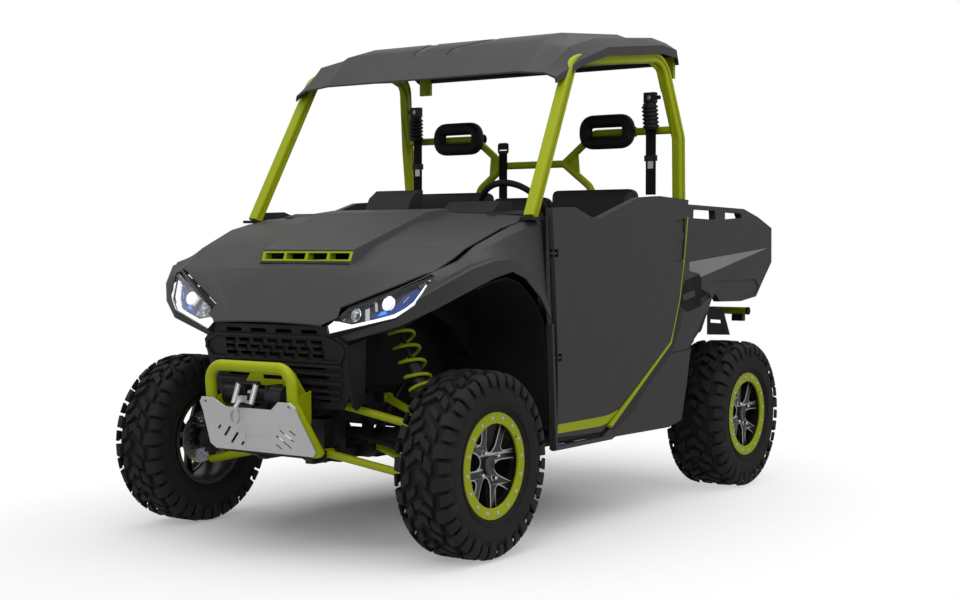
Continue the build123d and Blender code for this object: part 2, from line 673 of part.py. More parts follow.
def hood():
    skin = loft([hood_band(*row) for row in HOOD_STATIONS], ruled=True)
    scoop = loft([scoop_section(*row) for row in SCOOP_STATIONS], ruled=True)
    hollow = loft([scoop_section(*row, inset=PANEL, drop=30) for row in SCOOP_STATIONS], ruled=True)
    mouth = slab_y([(-HOOD_VENT[0], 1070), (-HOOD_VENT[0], 1108), (HOOD_VENT[0], 1108),
                    (HOOD_VENT[0], 1070)],
                   -1170, -1100)
    shape = skin + scoop - hollow - mouth
    zone = loft([fender_zone(*row) for row in FENDER_SECTIONS], ruled=True)
    for s in (-1, 1):
        shape -= zone if s > 0 else mirrored(zone)
        lamp = lamp_slab(grown(LAMP_OUTLINE, SEAM), -80, LAMP_DEPTH + 20)
        shape -= lamp if s > 0 else mirrored(lamp)
        shape -= block(span(s, 676, 760), (-722, -600), (1150, 1300))
        x = s * HOOD_LUG_X
        shape += block((x - 15, x + 15), (-668, -640), (1222, 1252))
        shape += disc_x(x - 15, *HOOD_HINGE, 11, 30)
        shape += block((x - 15, x + 15), (-655, -622), (HOOD_HINGE[1] - 10, HOOD_HINGE[1] + 10))
        shape -= disc_x(x - 16, *HOOD_HINGE, HINGE_PIN + PIN_CLEARANCE, 32)
    return shape


HOOD_VENT = (226, 4)   # half width and cell count


def hood_vent():
    half, cells = HOOD_VENT
    half -= 0.4
    pitch = 2 * (half - 9) / cells
    shape = block((-half, half), (-1156, -1108), (1070.4, 1107.6))
    lean = slab_x([(-1170, 1060), (-1170, 1120), (-1136, 1120), (-1158, 1060)], -300, 300)
    shape -= lean
    for i in range(cells):
        x = -half + 9 + (i + 0.5) * pitch
        shape -= block((x - pitch / 2 + 6, x + pitch / 2 - 6), (-1200, -1100), (1077, 1101))
    return shape


# front fender sections: plan point, outward angle from +X towards -Y, then (out, z) of each outer vertex
FENDER_SECTIONS = [
    ((318, -1338), 72, [(-22, 868), (-6, 850), (0, 835), (0, 820), (2, 806), (-14, 776)]),
    ((560, -1284), 62, [(-66, 985), (-30, 975), (-4, 930), (0, 915), (10, 900), (6, 846)]),
    ((668, -1215), 42, [(-52, 1036), (-26, 1022), (-6, 1000), (0, 985), (14, 978), (12, 908)]),
    ((742, -1110), 18, [(-84, 1075), (-56, 1066), (-8, 1062), (-2, 1052), (12, 1048), (14, 975)]),
    ((760, -1000), 4, [(-86, 1128), (-52, 1116), (-6, 1086), (-2, 1080), (12, 1074), (14, 1014)]),
    ((758, -890), 0, [(-66, 1170), (-34, 1152), (-4, 1088), (-2, 1084), (12, 1078), (14, 1034)]),
    ((756, -800), 0, [(-60, 1200), (-30, 1178), (-2, 1064), (-2, 1056), (12, 1050), (14, 1008)]),
    ((756, -690), 0, [(-56, 1226), (-28, 1202), (-2, 990), (-2, 984), (12, 976), (14, 930)]),
    ((758, -628), 0, [(-56, 1236), (-28, 1212), (-2, 905), (-2, 898), (12, 890), (14, 850)]),
]
FENDER_WALL = 6


def fender_face(plan, angle, outer):
    x, y = plan
    out = Vector(cos(radians(angle)), -sin(radians(angle)), 0)
    plane = Plane(origin=(x, y, 0), x_dir=out, z_dir=out.cross(Vector(0, 0, 1)))
    return plane * face_of(offset_band(outer, FENDER_WALL))


def fender_zone(plan, angle, outer):
    """What the hood leaves free around a fender section, with the seam."""
    x, y = plan
    out = Vector(cos(radians(angle)), -sin(radians(angle)), 0)
    plane = Plane(origin=(x, y, 0), x_dir=out, z_dir=out.cross(Vector(0, 0, 1)))
    inner, z = outer[0]
    return plane * face_of([(inner - SEAM, z - 90), (inner - SEAM, z + 70), (60, z + 70), (60, z - 90)])


def front_fender():
    skin = loft([fender_face(*row) for row in FENDER_SECTIONS], ruled=True)
    low, high = [(y - DOOR_SEAM, z) for y, z in DOOR_FRONT]
    rear = slab_x([(-630, 1238), (high[0], 1240), low, (low[0] + 3, 346), (-583, 346), (-600, 600),
                   (-611, 800), (-630, 870)], 750, 756)
    lip = slab_x([(-612, 830), (-600, 830), (-570, 346), (-583, 346)], 738, 768)
    shape = skin + rear + lip
    return shape - lamp_slab(grown(LAMP_OUTLINE, 4), -120, LAMP_DEPTH + 6)


# ---- headlamps: outline seen from the front (x, z), cut by a sloping lens plane ----
LAMP_OUTLINE = [(276, 842), (302, 812), (545, 872), (604, 918), (640, 1018), (626, 1022)]
LAMP_PLANE = [(276, -1362, 842), (604, -1262, 918), (630, -1200, 1020)]
LAMP_DEPTH = 80


def lamp_frame(shift=0.0):
    a, b, c = [Vector(*p) for p in LAMP_PLANE]
    normal = (b - a).cross(c - a).normalized()
    if normal.Y > 0:
        normal = normal * -1
    return Plane(origin=a + normal * shift, x_dir=(b - a), z_dir=normal)


def grown(points, distance):
    """An outline moved outwards by a distance, for a counterclockwise or clockwise list."""
    area = sum(p[0] * q[1] - q[0] * p[1] for p, q in zip(points, points[1:] + points[:1]))
    sign = 1 if area > 0 else -1
    moved = []
    for i, p in enumerate(points):
        before = points[i - 1]
        after = points[(i + 1) % len(points)]
        n0 = unit_right(before, p)
        n1 = unit_right(p, after)
        mid = (n0[0] + n1[0], n0[1] + n1[1])
        scale = sign * distance * 2 / max(mid[0] ** 2 + mid[1] ** 2, 1.0)
        moved.append((p[0] + mid[0] * scale, p[1] + mid[1] * scale))
    return moved


def lamp_slab(points, near, far):
    """The outline between two planes parallel to the lens, measured inwards."""
    prism = slab_y(points, -1480, -1020)
    slab = extrude(lamp_frame(-near) * Rectangle(2000, 2000), amount=near - far)
    return prism & slab


def headlamp_housing():
    body = lamp_slab(LAMP_OUTLINE, 4, LAMP_DEPTH)
    pocket = lamp_slab(grown(LAMP_OUTLINE, -7), 3, 45)
    shape = body - pocket
    for x, z, r in ((470, 902, 31), (392, 872, 22)):
        mouth = rod((x, -1330, z), (x, -1180, z), r)
        bowl = rod((x, -1330, z), (x, -1180, z), r - 5)
        barrel = mouth & lamp_slab(LAMP_OUTLINE, 16, 50)
        barrel -= bowl & lamp_slab(LAMP_OUTLINE, 10, 40)
        shape += barrel
    return shape


def headlamp_lens():
    return lamp_slab(grown(LAMP_OUTLINE, -0.5), 0, 3.7)


def headlamp_strip():
    low = [(300, 822), (543, 881), (590, 917), (612, 985), (600, 985), (576, 930), (536, 903), (340, 853)]
    return lamp_slab(low, 6, 20)


# ---- front fascia ----
FASCIA_TILT = 13
FASCIA_TOP = (-1352, 838)     # y and z of its top edge
FASCIA_ROWS = [  # height below the top edge, openings, their width and height
    (-62, 7, 52, 13),
    (-88, 8, 44, 13),
    (-114, 7, 52, 13),
    (-160, 1, 470, 14),
    (-196, 1, 500, 14),
    (-232, 6, 56, 12),
    (-258, 6, 56, 12),
    (-284, 6, 56, 12),
]


def fascia_plane(depth=0):
    up = Vector(0, -sin(radians(FASCIA_TILT)), cos(radians(FASCIA_TILT)))
    return Plane(origin=(0, FASCIA_TOP[0] + depth, FASCIA_TOP[1]), x_dir=(1, 0, 0),
                 z_dir=up.cross(Vector(-1, 0, 0)))


def front_fascia():
    plane = fascia_plane()
    wall = 14
    half = [(280, 0), (352, -68), (338, -250), (290, -316)]
    points = half + [(-x, z) for x, z in half[::-1]]
    plate = extrude(plane * face_of(points), amount=-wall)
    cutters = [Pos((i - 1.5) * 124, -24) * Rectangle(78, 16) for i in range(4)]
    for z, count, width, height in FASCIA_ROWS:
        pitch = 500 / count
        cutters += [Pos((i - (count - 1) / 2) * pitch, z) * Rectangle(width, height) for i in range(count)]
    shape = plate - [extrude(plane * cutter, amount=wall + 10, both=True) for cutter in cutters]
    cheek = slab_x([(-1336, 770), (-1300, 770), (-1210, 790), (-1220, 560), (-1262, 530),
                    (-1282, 545)], 334, 344)
    return shape.fuse(*both(cheek))


# ---- bumper, winch and skid plate ----
BUMPER_TUBE = 21
BUMPER_X = 201
SKID_TOP = (-1484, 572)       # y and z of the plate's ears
SKID_LEAN = 26
SKID_SLOTS = [  # distance from the centre, height on the plate, length
    (181, -129, 28),
    (147, -145, 66),
    (122, -172, 75),
    (90, -194, 27),
]


def bumper():
    half = [(BUMPER_X, -1460, 688), (BUMPER_X, -1450, 560), (246, -1358, 372)]
    route = [(-p[0], p[1], p[2]) for p in half[::-1]] + half
    hoop = tube(route, BUMPER_TUBE, 62)
    plate = slab_y([(-105, 662), (105, 662), (182, 560), (182, 470), (-182, 470), (-182, 560)], -1338, -1332)
    plate -= slab_y([(-48, 634), (48, 634), (48, 650), (-48, 650)], -1350, -1320)
    plate -= slab_y([(-92, 520), (92, 520), (92, 610), (-92, 610)], -1350, -1320)
    shape = hoop + plate
    for s in (-1, 1):
        shape += slab_x([(-1440, 570), (-1333, 600), (-1333, 480), (-1425, 500)], s * 182 - 3, s * 182 + 3)
        shape += rod((s * 246, -1358, 378), (s * 200, -1340, 370), 16)
    return shape


def winch():
    y, z = -1388, 575
    body = rod((-172, y, z), (-72, y, z), 40)
    body += rod((-74, y, z), (48, y, z), 27)
    body += rod((46, y, z), (120, y, z), 44)
    for x in (-72, 40):
        body += block((x, x + 10), (y - 34, y + 49.6), (z - 44, z + 44))
    return body


HOOK = (-36, -1503, 510)      # winch hook's loop
HOOK_HALF = 7


def winch_fairlead():
    """Two upright rollers and the hook that hangs in front of the skid plate."""
    parts = []
    for x in (-88, -2):
        low = Vector(x, -1452, 548)
        high = Vector(x, -1424, 620)
        parts.append(rod(low, high, 11))
    shape = parts[0]
    shape = shape.fuse(parts[1])
    shape += block((-104, 14), (-1462, -1446), (536, 548))
    shape += block((-104, 14), (-1434, -1418), (620, 632))
    shape += block((-20, -10), (-1450, -1421), (590, 600))
    shape += block((-30, -8), (-1455, -1422.2), (552, 562))
    x, y, z = HOOK
    hook = Plane(origin=HOOK, x_dir=(1, 0, 0), z_dir=(0, -1, 0)) * (Ellipse(25, 32) - Ellipse(15, 22))
    hook = extrude(hook, amount=HOOK_HALF, both=True)
    hook += rod((x, y, z + 26), (x, y + 40, z + 66), 8)
    hook += block((x - 16, x + 16), (y + 22, y + 50), (z + 48, z + 70))
    return shape + hook


def skid_plane(shift=0):
    down = Vector(0, sin(radians(SKID_LEAN)), -cos(radians(SKID_LEAN)))
    normal = Vector(1, 0, 0).cross(down * -1)
    return Plane(origin=Vector(0, SKID_TOP[0], SKID_TOP[1]) + normal * shift, x_dir=(1, 0, 0), z_dir=normal)


def skid_plate():
    half = [(112, -38), (160, -2), (218, -2), (236, -22), (238, -62), (262, -205), (240, -226)]
    points = half + [(-x, z) for x, z in half[::-1]]
    plate = extrude(skid_plane() * face_of(points), amount=5)
    cuts = [Pos(s * 206, -20) * Circle(7) for s in (-1, 1)]
    for x, up, length in SKID_SLOTS:
        for s in (-1, 1):
            cuts.append(Pos(s * x, up) * Rot(Z=-s * 43) * Rectangle(length, 9))
    plate -= [extrude(skid_plane() * cut, amount=20, both=True) for cut in cuts]
    recess = face_of([(-58, -150), (58, -150), (88, -216), (-88, -216)])
    plate -= extrude(skid_plane(2) * recess, amount=4)
    for s in (-1, 1):
        plate += extrude(skid_plane() * Pos(s * 217, -95) * Rectangle(24, 40), amount=-14)
    return plate


# ---- cabin ----
FLOOR_Z = 385
FIREWALL_Y = -592
REAR_WALL_Y = 455
SEAT_TOP = 800


def cabin_tub():
    """Floor, firewall, seat box and rear wall in sheet 6 thick."""
    t = 6
    half = 634
    rear = REAR_WALL_Y - 60
    tub = block((-SILL_X, SILL_X), (FIREWALL_Y, rear), (FLOOR_Z, FLOOR_Z + t))
    tub += block((-half, half), (FIREWALL_Y, FIREWALL_Y + t), (FLOOR_Z, 1150))
    tub += block((-half, half), (-20, -20 + t), (FLOOR_Z, SEAT_TOP))
    tub += block((-half, half), (-20, rear), (SEAT_TOP - t, SEAT_TOP))
    tub += block((-half, half), (rear - t, rear), (FLOOR_Z, 1210))
    tub += block((-90, 90), (FIREWALL_Y, -20), (FLOOR_Z + t - 1, FLOOR_Z + 70))
    tub -= block((-84, 84), (FIREWALL_Y + t, -14), (FLOOR_Z - 1, FLOOR_Z + 64))
    return tub - rod(steer_point(300), PINION_TOP, 20)


def dashboard():
    front = FIREWALL_Y - 8
    profile = [(front, 1252), (-520, 1268), (-440, 1262), (-402, 1215), (-392, 1120), (-420, 985),
               (-500, 965), (FIREWALL_Y + 6.5, 965), (FIREWALL_Y + 6.5, 1151), (front, 1151)]
    dash = slab_x(profile, -612, 612)
    hood_top = [(-560, 1262), (-500, 1308), (-420, 1308), (-398, 1226), (-398, 1170), (-470, 1170),
                (-560, 1200)]
    dash += slab_x(hood_top, 205, 455)
    dash += slab_x([(-520, 1262), (-480, 1330), (-430, 1362), (-404, 1362), (-402, 1210),
                    (-520, 1210)], -232, -4)
    # instrument recess, and the glovebox lid in its groove
    dash -= slab_x([(-450, 1292), (-390, 1292), (-380, 1190), (-428, 1190)], 225, 435)
    dash -= block((-520, -250), (-440, -380), (1012, 1108))
    dash += block((-516, -254), (-441, -404), (1016, 1104))
    dash -= rod(steer_point(60), steer_point(420), 24)
    dash -= rod(steer_point(300), PINION_TOP, 20)
    for s in (-1, 1):
        dash += block(span(s, 606, 670), (front, -440), (1180, 1240))
        # forks and pins that the hood turns on
        x = s * HOOD_LUG_X
        for ear in (-28, 20):
            dash += block((x + ear, x + ear + 8), (HOOD_HINGE[0] - 9, front + 1),
                          (HOOD_HINGE[1] - 9, HOOD_HINGE[1] + 9))
        dash += disc_x(x - 28, *HOOD_HINGE, HINGE_PIN, 56)
    return dash


def steer_axis():
    rake = radians(WHEEL_RAKE)
    return Vector(0, -cos(rake), -sin(rake))


def steer_point(distance):
    """A point on the steering axis, forward of the wheel's centre."""
    return Vector(*WHEEL_CENTRE) + steer_axis() * distance


def steering_wheel():
    plane = Plane(origin=WHEEL_CENTRE, x_dir=(1, 0, 0), z_dir=steer_axis() * -1)
    ring = plane * revolve(Plane.XZ * Pos(WHEEL_RADIUS - WHEEL_GRIP, 0) * Circle(WHEEL_GRIP), Axis.Z)
    hub = extrude(plane.offset(-34) * Circle(44), amount=40)
    wheel = ring + hub
    for angle in (0, 180, 270):
        spoke = Rot(Z=angle) * Pos(100, 0, -6) * Box(136, 26, 9)
        wheel += plane * spoke
    return wheel


def steering_column():
    shape = rod(steer_point(35), steer_point(330), 19)
    shape += rod(steer_point(40), steer_point(150), 33)
    return shape + rod(steer_point(318), PINION_TOP, 10)


def seat_cushions():
    pads = []
    for x0, x1 in ((168, 600), (-156, 156), (-600, -168)):
        profile = [(-30, SEAT_TOP + 0.3), (-36, 872), (-10, 905), (90, 902), (300, 880), (318, 860),
                   (318, SEAT_TOP + 0.3)]
        pads.append(slab_x(profile, x0, x1))
    return pads


def seat_backs():
    pads = []
    rear = REAR_WALL_Y - 66.5
    for x0, x1, top in ((168, 600, 1374), (-156, 156, 1345), (-600, -168, 1374)):
        profile = [(322.3, 866), (rear, 880), (rear, top - 14), (372, top), (340, top), (322, top - 20),
                   (280, 1010), (262, 914), (322.3, 910)]
        pads.append(slab_x(profile, x0, x1))
    return pads


HEADREST = (409, 1639)


def headrests():
    """Ring pads on the front of the crossbar, with two clips each."""
    x, z = HEADREST
    front = Plane(origin=(x, 430, z), x_dir=(1, 0, 0), z_dir=(0, -1, 0))
    ring = extrude(front * (SlotOverall(290, 166) - SlotOverall(196, 58)), amount=30)
    for s in (-1, 1):
        ring += block((x + s * 118 - 12, x + s * 118 + 12), (429, 469), (1614, 1658))
    ring -= rod((x - 200, 447, 1636), (x + 200, 447, 1636), CROSS_RADIUS)
    return both(ring)


def seat_belts():
    shapes = []
    reel = rod((646, 392, 1640), (641, 384, 1752), 30)
    reel += block((612, 672), (376, 404), (1752, 1800))
    reel += block((612, 668), (398, 401), (1352, 1650))
    for i in range(5):
        reel += rod((646 - 0.9 * i, 392 - 1.4 * i, 1648 + 20 * i),
                    (646 - 0.9 * i, 392 - 1.4 * i, 1656 + 20 * i), 36)
    reel += rod((655, 392, 1776), (708, 408, 1776), 9)
    shapes += both(reel)
    guide = block((-188, -128), (424, 429), (1560, 1612))
    guide += block((-182, -134), (424, 427), (1352, 1562))
    guide += block((-160, -140), (426, 440), (1494, 1516))
    shapes.append(guide)
    return shapes


# ---- doors and side panels ----
# rear and lower edge
DOOR_LINE = [(495, 1258), (458, 1043), (420, 890), (345, 716), (-203, 380), (-254, 380)]
DOOR_TOP = [(-617, 1272), (-451, 1279), (-330, 1243), (-262, 1240), (60, 1330), (243, 1341), (506, 1331)]
DOOR_SECTION = [(752, 370), (764, 560), (DOOR_OUT, 760), (DOOR_OUT, 1180), (DOOR_OUT - 1, 1345)]


def door():
    outline = DOOR_TOP + DOOR_LINE + [DOOR_FRONT[0]]
    slab = slab_x(outline, 700, 800)
    skin = slab_y(offset_band(DOOR_SECTION, -DOOR_THICKNESS), -700, 600)
    leaf = slab & skin
    # handle pocket and its pull, arm rest hollow on the inside
    leaf -= slab_x([(368, 1060), (376, 1236), (474, 1250), (462, 1060)], 766, 820)
    leaf += slab_x([(378, 1150), (380, 1180), (466, 1186), (462, 1156)], 764, 769)
    leaf -= slab_x([(-480, 520), (-520, 1120), (-60, 1180), (280, 1220), (330, 1000), (240, 760),
                    (-60, 560)], 690, 745)
    # room for the door frame's tube and the roll cage behind the edges
    line = offset_line(DOOR_LINE[:-1], -6)
    route = [(x, *p) for x, p in zip([742, 745, 744, 742, 722], line)] + [(722, -620, 374)]
    leaf -= tube(route, DOOR_TUBE + SEAM, 60)
    wide = 2 * (CAGE_RADIUS + SEAM)
    leaf -= bar(CAGE_ROUTE[-2], Vector(*CAGE_ROUTE[-1]) + Vector(0, 9, -60), wide, wide)
    leaf -= rod((735, 490, 1290), (742, line[0][0] - 3, line[0][1] - 40), DOOR_TUBE + SEAM)
    for z in DOOR_HINGE_HEIGHTS:
        x, y, _ = hinge_point(1, z)
        leaf -= block((700, 800), (y - 30, y + 22), (z - 15, z + 15))
        leaf += rod(hinge_point(1, z - 16), hinge_point(1, z + 16), HINGE_PIN)
    return leaf


def side_panel():
    seam = offset_line(DOOR_LINE[:-1], -24)
    seam[-1] = (seam[-1][0] - 6, 356)
    upper = [(500, 1132), (516, 1132), (516, 1020), (618, 1006), (664, 968), (806, 936)]
    rear = [(743, 884), (645, 752), (547, 690), (511, 501), (484, 362), (362, 339), (-93, 346),
            (-109, 336), (-555, 336)]
    slab = slab_x(seam[1:][::-1] + upper + rear + [(-555, 356)], 700, 800)
    section = [(738, 330), (752, 352), (762, 520), (SIDE_OUT, 760), (SIDE_OUT, 1000), (762, 1140)]
    panel = slab & slab_y(offset_band(section, -SIDE_THICKNESS), -700, 900)
    recess = slab_x([(534, 892), (604, 858), (740, 900), (700, 918), (560, 960)], SIDE_OUT - 8, 820)
    patch = slab_x([(560, 716), (598, 700), (650, 772), (700, 840)], SIDE_OUT - 6, 820)
    for y in (-400, 200):
        panel += block((SILL_X + 10, 742), (y, y + 40), (348, 353))
    return panel - recess - patch


def arch_liners():
    """Front wheel houses, inner guards behind the shock absorbers and the guards over the rear wheels."""
    top = [(-1180, 930), (-1120, 962), (-1000, 996), (-890, 1014), (-800, 990), (-700, 922), (-637, 842),
           (-618, 700), (-606, 420)]
    liner = slab_x(offset_band(top, 4), 400, 744)
    liner += slab_x(offset_band(top[-2:], 4), 268, 404)
    liner += slab_x(top[:-1] + [(-640, 700), (-760, 820), (-900, 880), (-1100, 880)], 400, 404)
    liner -= block((600, 760), (-1300, -1080), (600, 1100))
    inner = slab_x([(-1285, 600), (-1285, 800), (-1180, 930), (-650, 930), (-630, 600)], 264, 268)
    inner -= block((260, 272), (-1082, -990), (850, 925))
    shaft_hole = rod(steer_point(300), PINION_TOP, 20)
    liner -= shaft_hole
    inner -= shaft_hole
    rear = slab_x([(846, 720), (1078, 708), (1001, 838), (846, 838)], 694, 700)
    rear -= slab_x([(870, 775), (872, 790), (985, 782), (990, 767)], 690, 710)
    rear += slab_x([(664, 930), (800, 915), (846, 857), (846, 816), (664, 816)], 694, 700)
    rear += block((BED_RAIL_X + 17, 700), (664, 990), (812, 816))
    rear += block((BED_RAIL_X + 17, 700), (664, 668), (640, 816))
    return both(liner) + both(inner) + both(rear)


# ---- cargo bed ----
BED_SIDE = [(BED_FRONT, 1316), (1190, 1306), (1349, 1270), (1508, 1218), (1510, 1050), (1390, 940),
            (1332, 884), (1163, 866), (937, 870), (852, 938), (670, 980), (626, 1014), (BED_FRONT, 1014)]


def bed():
    h = BED_HALF
    inner = h - BED_WALL
    y0, z0 = BED_HINGE
    shape = slab_x(BED_SIDE, -h, h) - block((-inner, inner), (BED_FRONT - 5, 1600), (800, 1400))
    parts = [block((-inner - 1, inner + 1), (BED_FRONT, TAILGATE_HINGE[0] - 22), BED_FLOOR)]
    parts.append(block((-inner - 1, inner + 1), (BED_FRONT, BED_FRONT + 30), (BED_FLOOR[0], 1314)))
    for y in (640, 900, 1160):
        parts.append(block((-inner, inner), (y - 15, y + 15), (BED_FLOOR[0] - 22, BED_FLOOR[0] + 1)))
    for s in (-1, 1):
        parts.append(block(span(s, inner - 6, inner + 1), (BED_FRONT, 870), (BED_FLOOR[0], 1016)))
        x = s * BED_HINGE_X
        parts.append(disc_x(x - 13, y0, z0, 15, 26))
        parts.append(block((x - 13, x + 13), (y0 - 15, y0 + 15), (z0, BED_FLOOR[0] + 1)))
        # tailgate hinge pins stand out of the side walls
        parts.append(rod((s * (inner + 5), *TAILGATE_HINGE), (s * (inner - 24), *TAILGATE_HINGE),
                         PIN_RADIUS))
    shape = shape.fuse(*parts)
    # open rails along the top, a sunk band along the lower side
    band = [(844, 968), (1320, 968), (1365, 930), (1326, 896), (1163, 880), (944, 884), (868, 946)]
    for s in (-1, 1):
        shape -= disc_x(s * BED_HINGE_X - 14, y0, z0, PIN_RADIUS + PIN_CLEARANCE, 28)
        rail = span(s, inner - 10, h + 10)
        shape -= slab_x([(660, 1254), (664, 1294), (880, 1292), (884, 1250)], *rail)
        shape -= slab_x([(985, 1252), (985, 1288), (1150, 1284), (1166, 1262)], *rail)
        shape -= slab_x(band, *span(s, h - 5, h + 20))
    return shape


def tailgate():
    """The lower part leans forward to the hinge, as the bed's rear edge does."""
    half = BED_HALF - BED_WALL - SEAM
    y, z = TAILGATE_HINGE
    profile = [(1468, 1210), (1498, 1210), (1502, 1052), (1402, 962), (y + 6, z + 4), (y - 4, z + 12),
               (1470, 1066)]
    gate = slab_x(profile, -half, half)
    gate -= block((-half + 20, half - 20), (y - 30, y + 14), (z - 30, z + 22))
    for s in (-1, 1):
        low, high = span(s, half - 18, half)
        gate += disc_x(low, y, z, 15, 18)
        gate -= disc_x(low - 1, y, z, PIN_RADIUS + PIN_CLEARANCE, 20)
        gate -= block((s * 320 - 250, s * 320 + 250), (1492, 1510), (1080, 1170))
    return gate - block((-70, 70), (1486, 1510), (1178, 1196))


# ---- the rest ----
def engine():
    block_main = block((-235, 235), (520, 880), (400, 790))
    return block_main


def exhaust():
    y, z = 1262, 610
    muffler = rod((-190, y, z), (190, y, z), 72)
    muffler += rod((120, y, z + 20), (120, y + 120, z - 6), 24)
    muffler -= rod((120, y + 40, z + 12), (120, y + 121, z - 6), 20)
    return muffler + tube([(-60, 880, 560), (-60, 1040, 560), (-60, y, 605)], 22, 80)


def radiator():
    core = block((-160, 160), (-1262, -1225), (500, 780))
    for s in (-1, 1):
        core += rod((s * 78, -1226, 640), (s * 78, -1208, 640), 70)
        core += block(span(s, TOWER_X - 16, 160), (-1226, -1165), (560, 600))
    return core


def tail_lamps():
    lamp = block((582, 640), (1340, 1372), (762, 794))
    lamp += block((600, 622), (1344, 1356), (788, 798))
    return both(lamp)


def controls():
    """Pedals, selector lever and the tunnel console."""
    shapes = []
    for x, w in ((385, 44), (285, 70)):
        arm = bar((x, -580, 780), (x, -520, 560), 12, 10)
        arm += block((x - w / 2, x + w / 2), (-526, -512), (520, 580))
        arm += block((x - 14, x + 14), (-585.8, -566), (765, 800))
        shapes.append(arm)
    lever = rod((118, -396, 1060), (118, -330, 1150), 8)
    lever += Pos(118, -326, 1158) * Sphere(20)
    shapes.append(lever)
    return shapes


# ---- write every sub-part ----
SEATED = [  # a piece cut to sit against another one
    ("steering_gear", "frame"),
    ("steering_gear", "driveline"),
    ("steering_column", "steering_gear"),
    ("radiator", "frame"),
    ("side_panels", "frame"),
    ("seat_belts", "cage_sides"),
    ("seat_belts", "cage_cross"),
    ("arch_liners", "frame"),
    ("arch_liners", "headlamp_housings"),
    ("arch_liners", "front_fascia"),
    ("cabin_tub", "frame"),
    ("half_shafts", "driveline"),
    ("half_shafts", "rear_arms"),
    ("front_fenders", "cage_sides"),
    ("front_fascia", "front_fenders"),
    ("front_fascia", "headlamp_housings"),
    ("front_fascia", "headlamp_strips"),
    ("headlamp_housings", "headlamp_strips"),
    ("bumper", "frame"),
    ("skid_plate", "bumper"),
    ("winch_fairlead", "winch"),
    ("cage_cross", "cage_sides"),
    ("cage_cross", "frame"),
    ("headrests", "cage_cross"),
    ("roof", "cage_sides"),
    ("roof", "cage_cross"),
    ("dampers", "front_arms"),
    ("dampers", "rear_arms"),
    ("dampers", "frame"),
    ("exhaust", "frame"),
    ("tail_lamps", "frame"),
]


def write(name, solids):
    export_step(Compound(solids) if len(solids) > 1 else solids[0], f"parts/{name}.step")


def main():
    os.makedirs("parts", exist_ok=True)
    nodes = {
        "frame": frame,
        "belly_pan": belly_pan,
        "cage_sides": lambda: both(cage_side()),
        "cage_cross": cage_cross,
        "roof": roof,
        "hood": hood,
        "hood_vent": hood_vent,
        "front_fenders": lambda: both(front_fender()),
        "front_fascia": front_fascia,
        "headlamp_housings": lambda: both(headlamp_housing()),
        "headlamp_lenses": lambda: both(headlamp_lens()),
        "headlamp_strips": lambda: both(headlamp_strip()),
        "bumper": bumper,
        "winch": winch,
        "winch_fairlead": winch_fairlead,
        "skid_plate": skid_plate,
        "radiator": radiator,
        "arch_liners": arch_liners,
        "front_arms": front_arms,
        "rear_arms": rear_arms,
        "dampers": lambda: [s for p, q in SHOCKS for s in both(damper(p, q))],
        "springs": lambda: [s for p, q in SHOCKS for s in both(coil(p, q))],
        "driveline": driveline,
        "half_shafts": half_shafts,
        "steering_gear": steering_gear,
        "steering_column": steering_column,
        "steering_wheel": steering_wheel,
        "cabin_tub": cabin_tub,
        "dashboard": dashboard,
        "controls": controls,
        "seat_cushions": seat_cushions,
        "seat_backs": seat_backs,
        "headrests": headrests,
        "seat_belts": seat_belts,
        "side_panels": lambda: both(side_panel()),
        "door_left": door,
        "door_right": lambda: mirrored(door()),
        "bed": bed,
        "tailgate": tailgate,
        "engine": engine,
        "exhaust": exhaust,
        "tail_lamps": tail_lamps,
        "knuckle_left": knuckle,
        "knuckle_right": lambda: mirrored(knuckle()),
        "tie_rod_left": tie_rod,
        "tie_rod_right": lambda: mirrored(tie_rod()),
    }
    shapes = {name: solids_of(make()) for name, make in nodes.items()}
    for seated, seat in SEATED:
        shapes[seated] = seat_on(shapes[seated], shapes[seat])
    for name, solids in shapes.items():
        write(name, solids)
    wheel_rows = [("front", FRONT_AXLE, FRONT_TYRE_WIDTH, 52), ("rear", REAR_AXLE, REAR_TYRE_WIDTH, 134)]
    for end, axle, width, stub in wheel_rows:
        pieces = {"tyre": tyre(width), "rim": rim(width, stub), "ring": clamp_ring()}
        for piece, shape in pieces.items():
            for side, sign in (("left", 1), ("right", -1)):
                write(f"{piece}_{end}_{side}", solids_of(place_wheel(shape, axle, sign)))


main()
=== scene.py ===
import math

import bmesh
import bpy
from mathutils import Matrix, Vector


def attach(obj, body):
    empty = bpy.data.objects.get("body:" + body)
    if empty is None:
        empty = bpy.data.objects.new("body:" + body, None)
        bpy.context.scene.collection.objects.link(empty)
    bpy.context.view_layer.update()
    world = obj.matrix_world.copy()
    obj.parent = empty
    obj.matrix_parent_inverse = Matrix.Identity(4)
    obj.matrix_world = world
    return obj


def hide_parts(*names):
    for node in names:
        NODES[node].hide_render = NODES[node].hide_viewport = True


# Looks of the side by side utility vehicle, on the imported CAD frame.
# Metres. Front is -Y, the vehicle's left is +X, up is +Z.

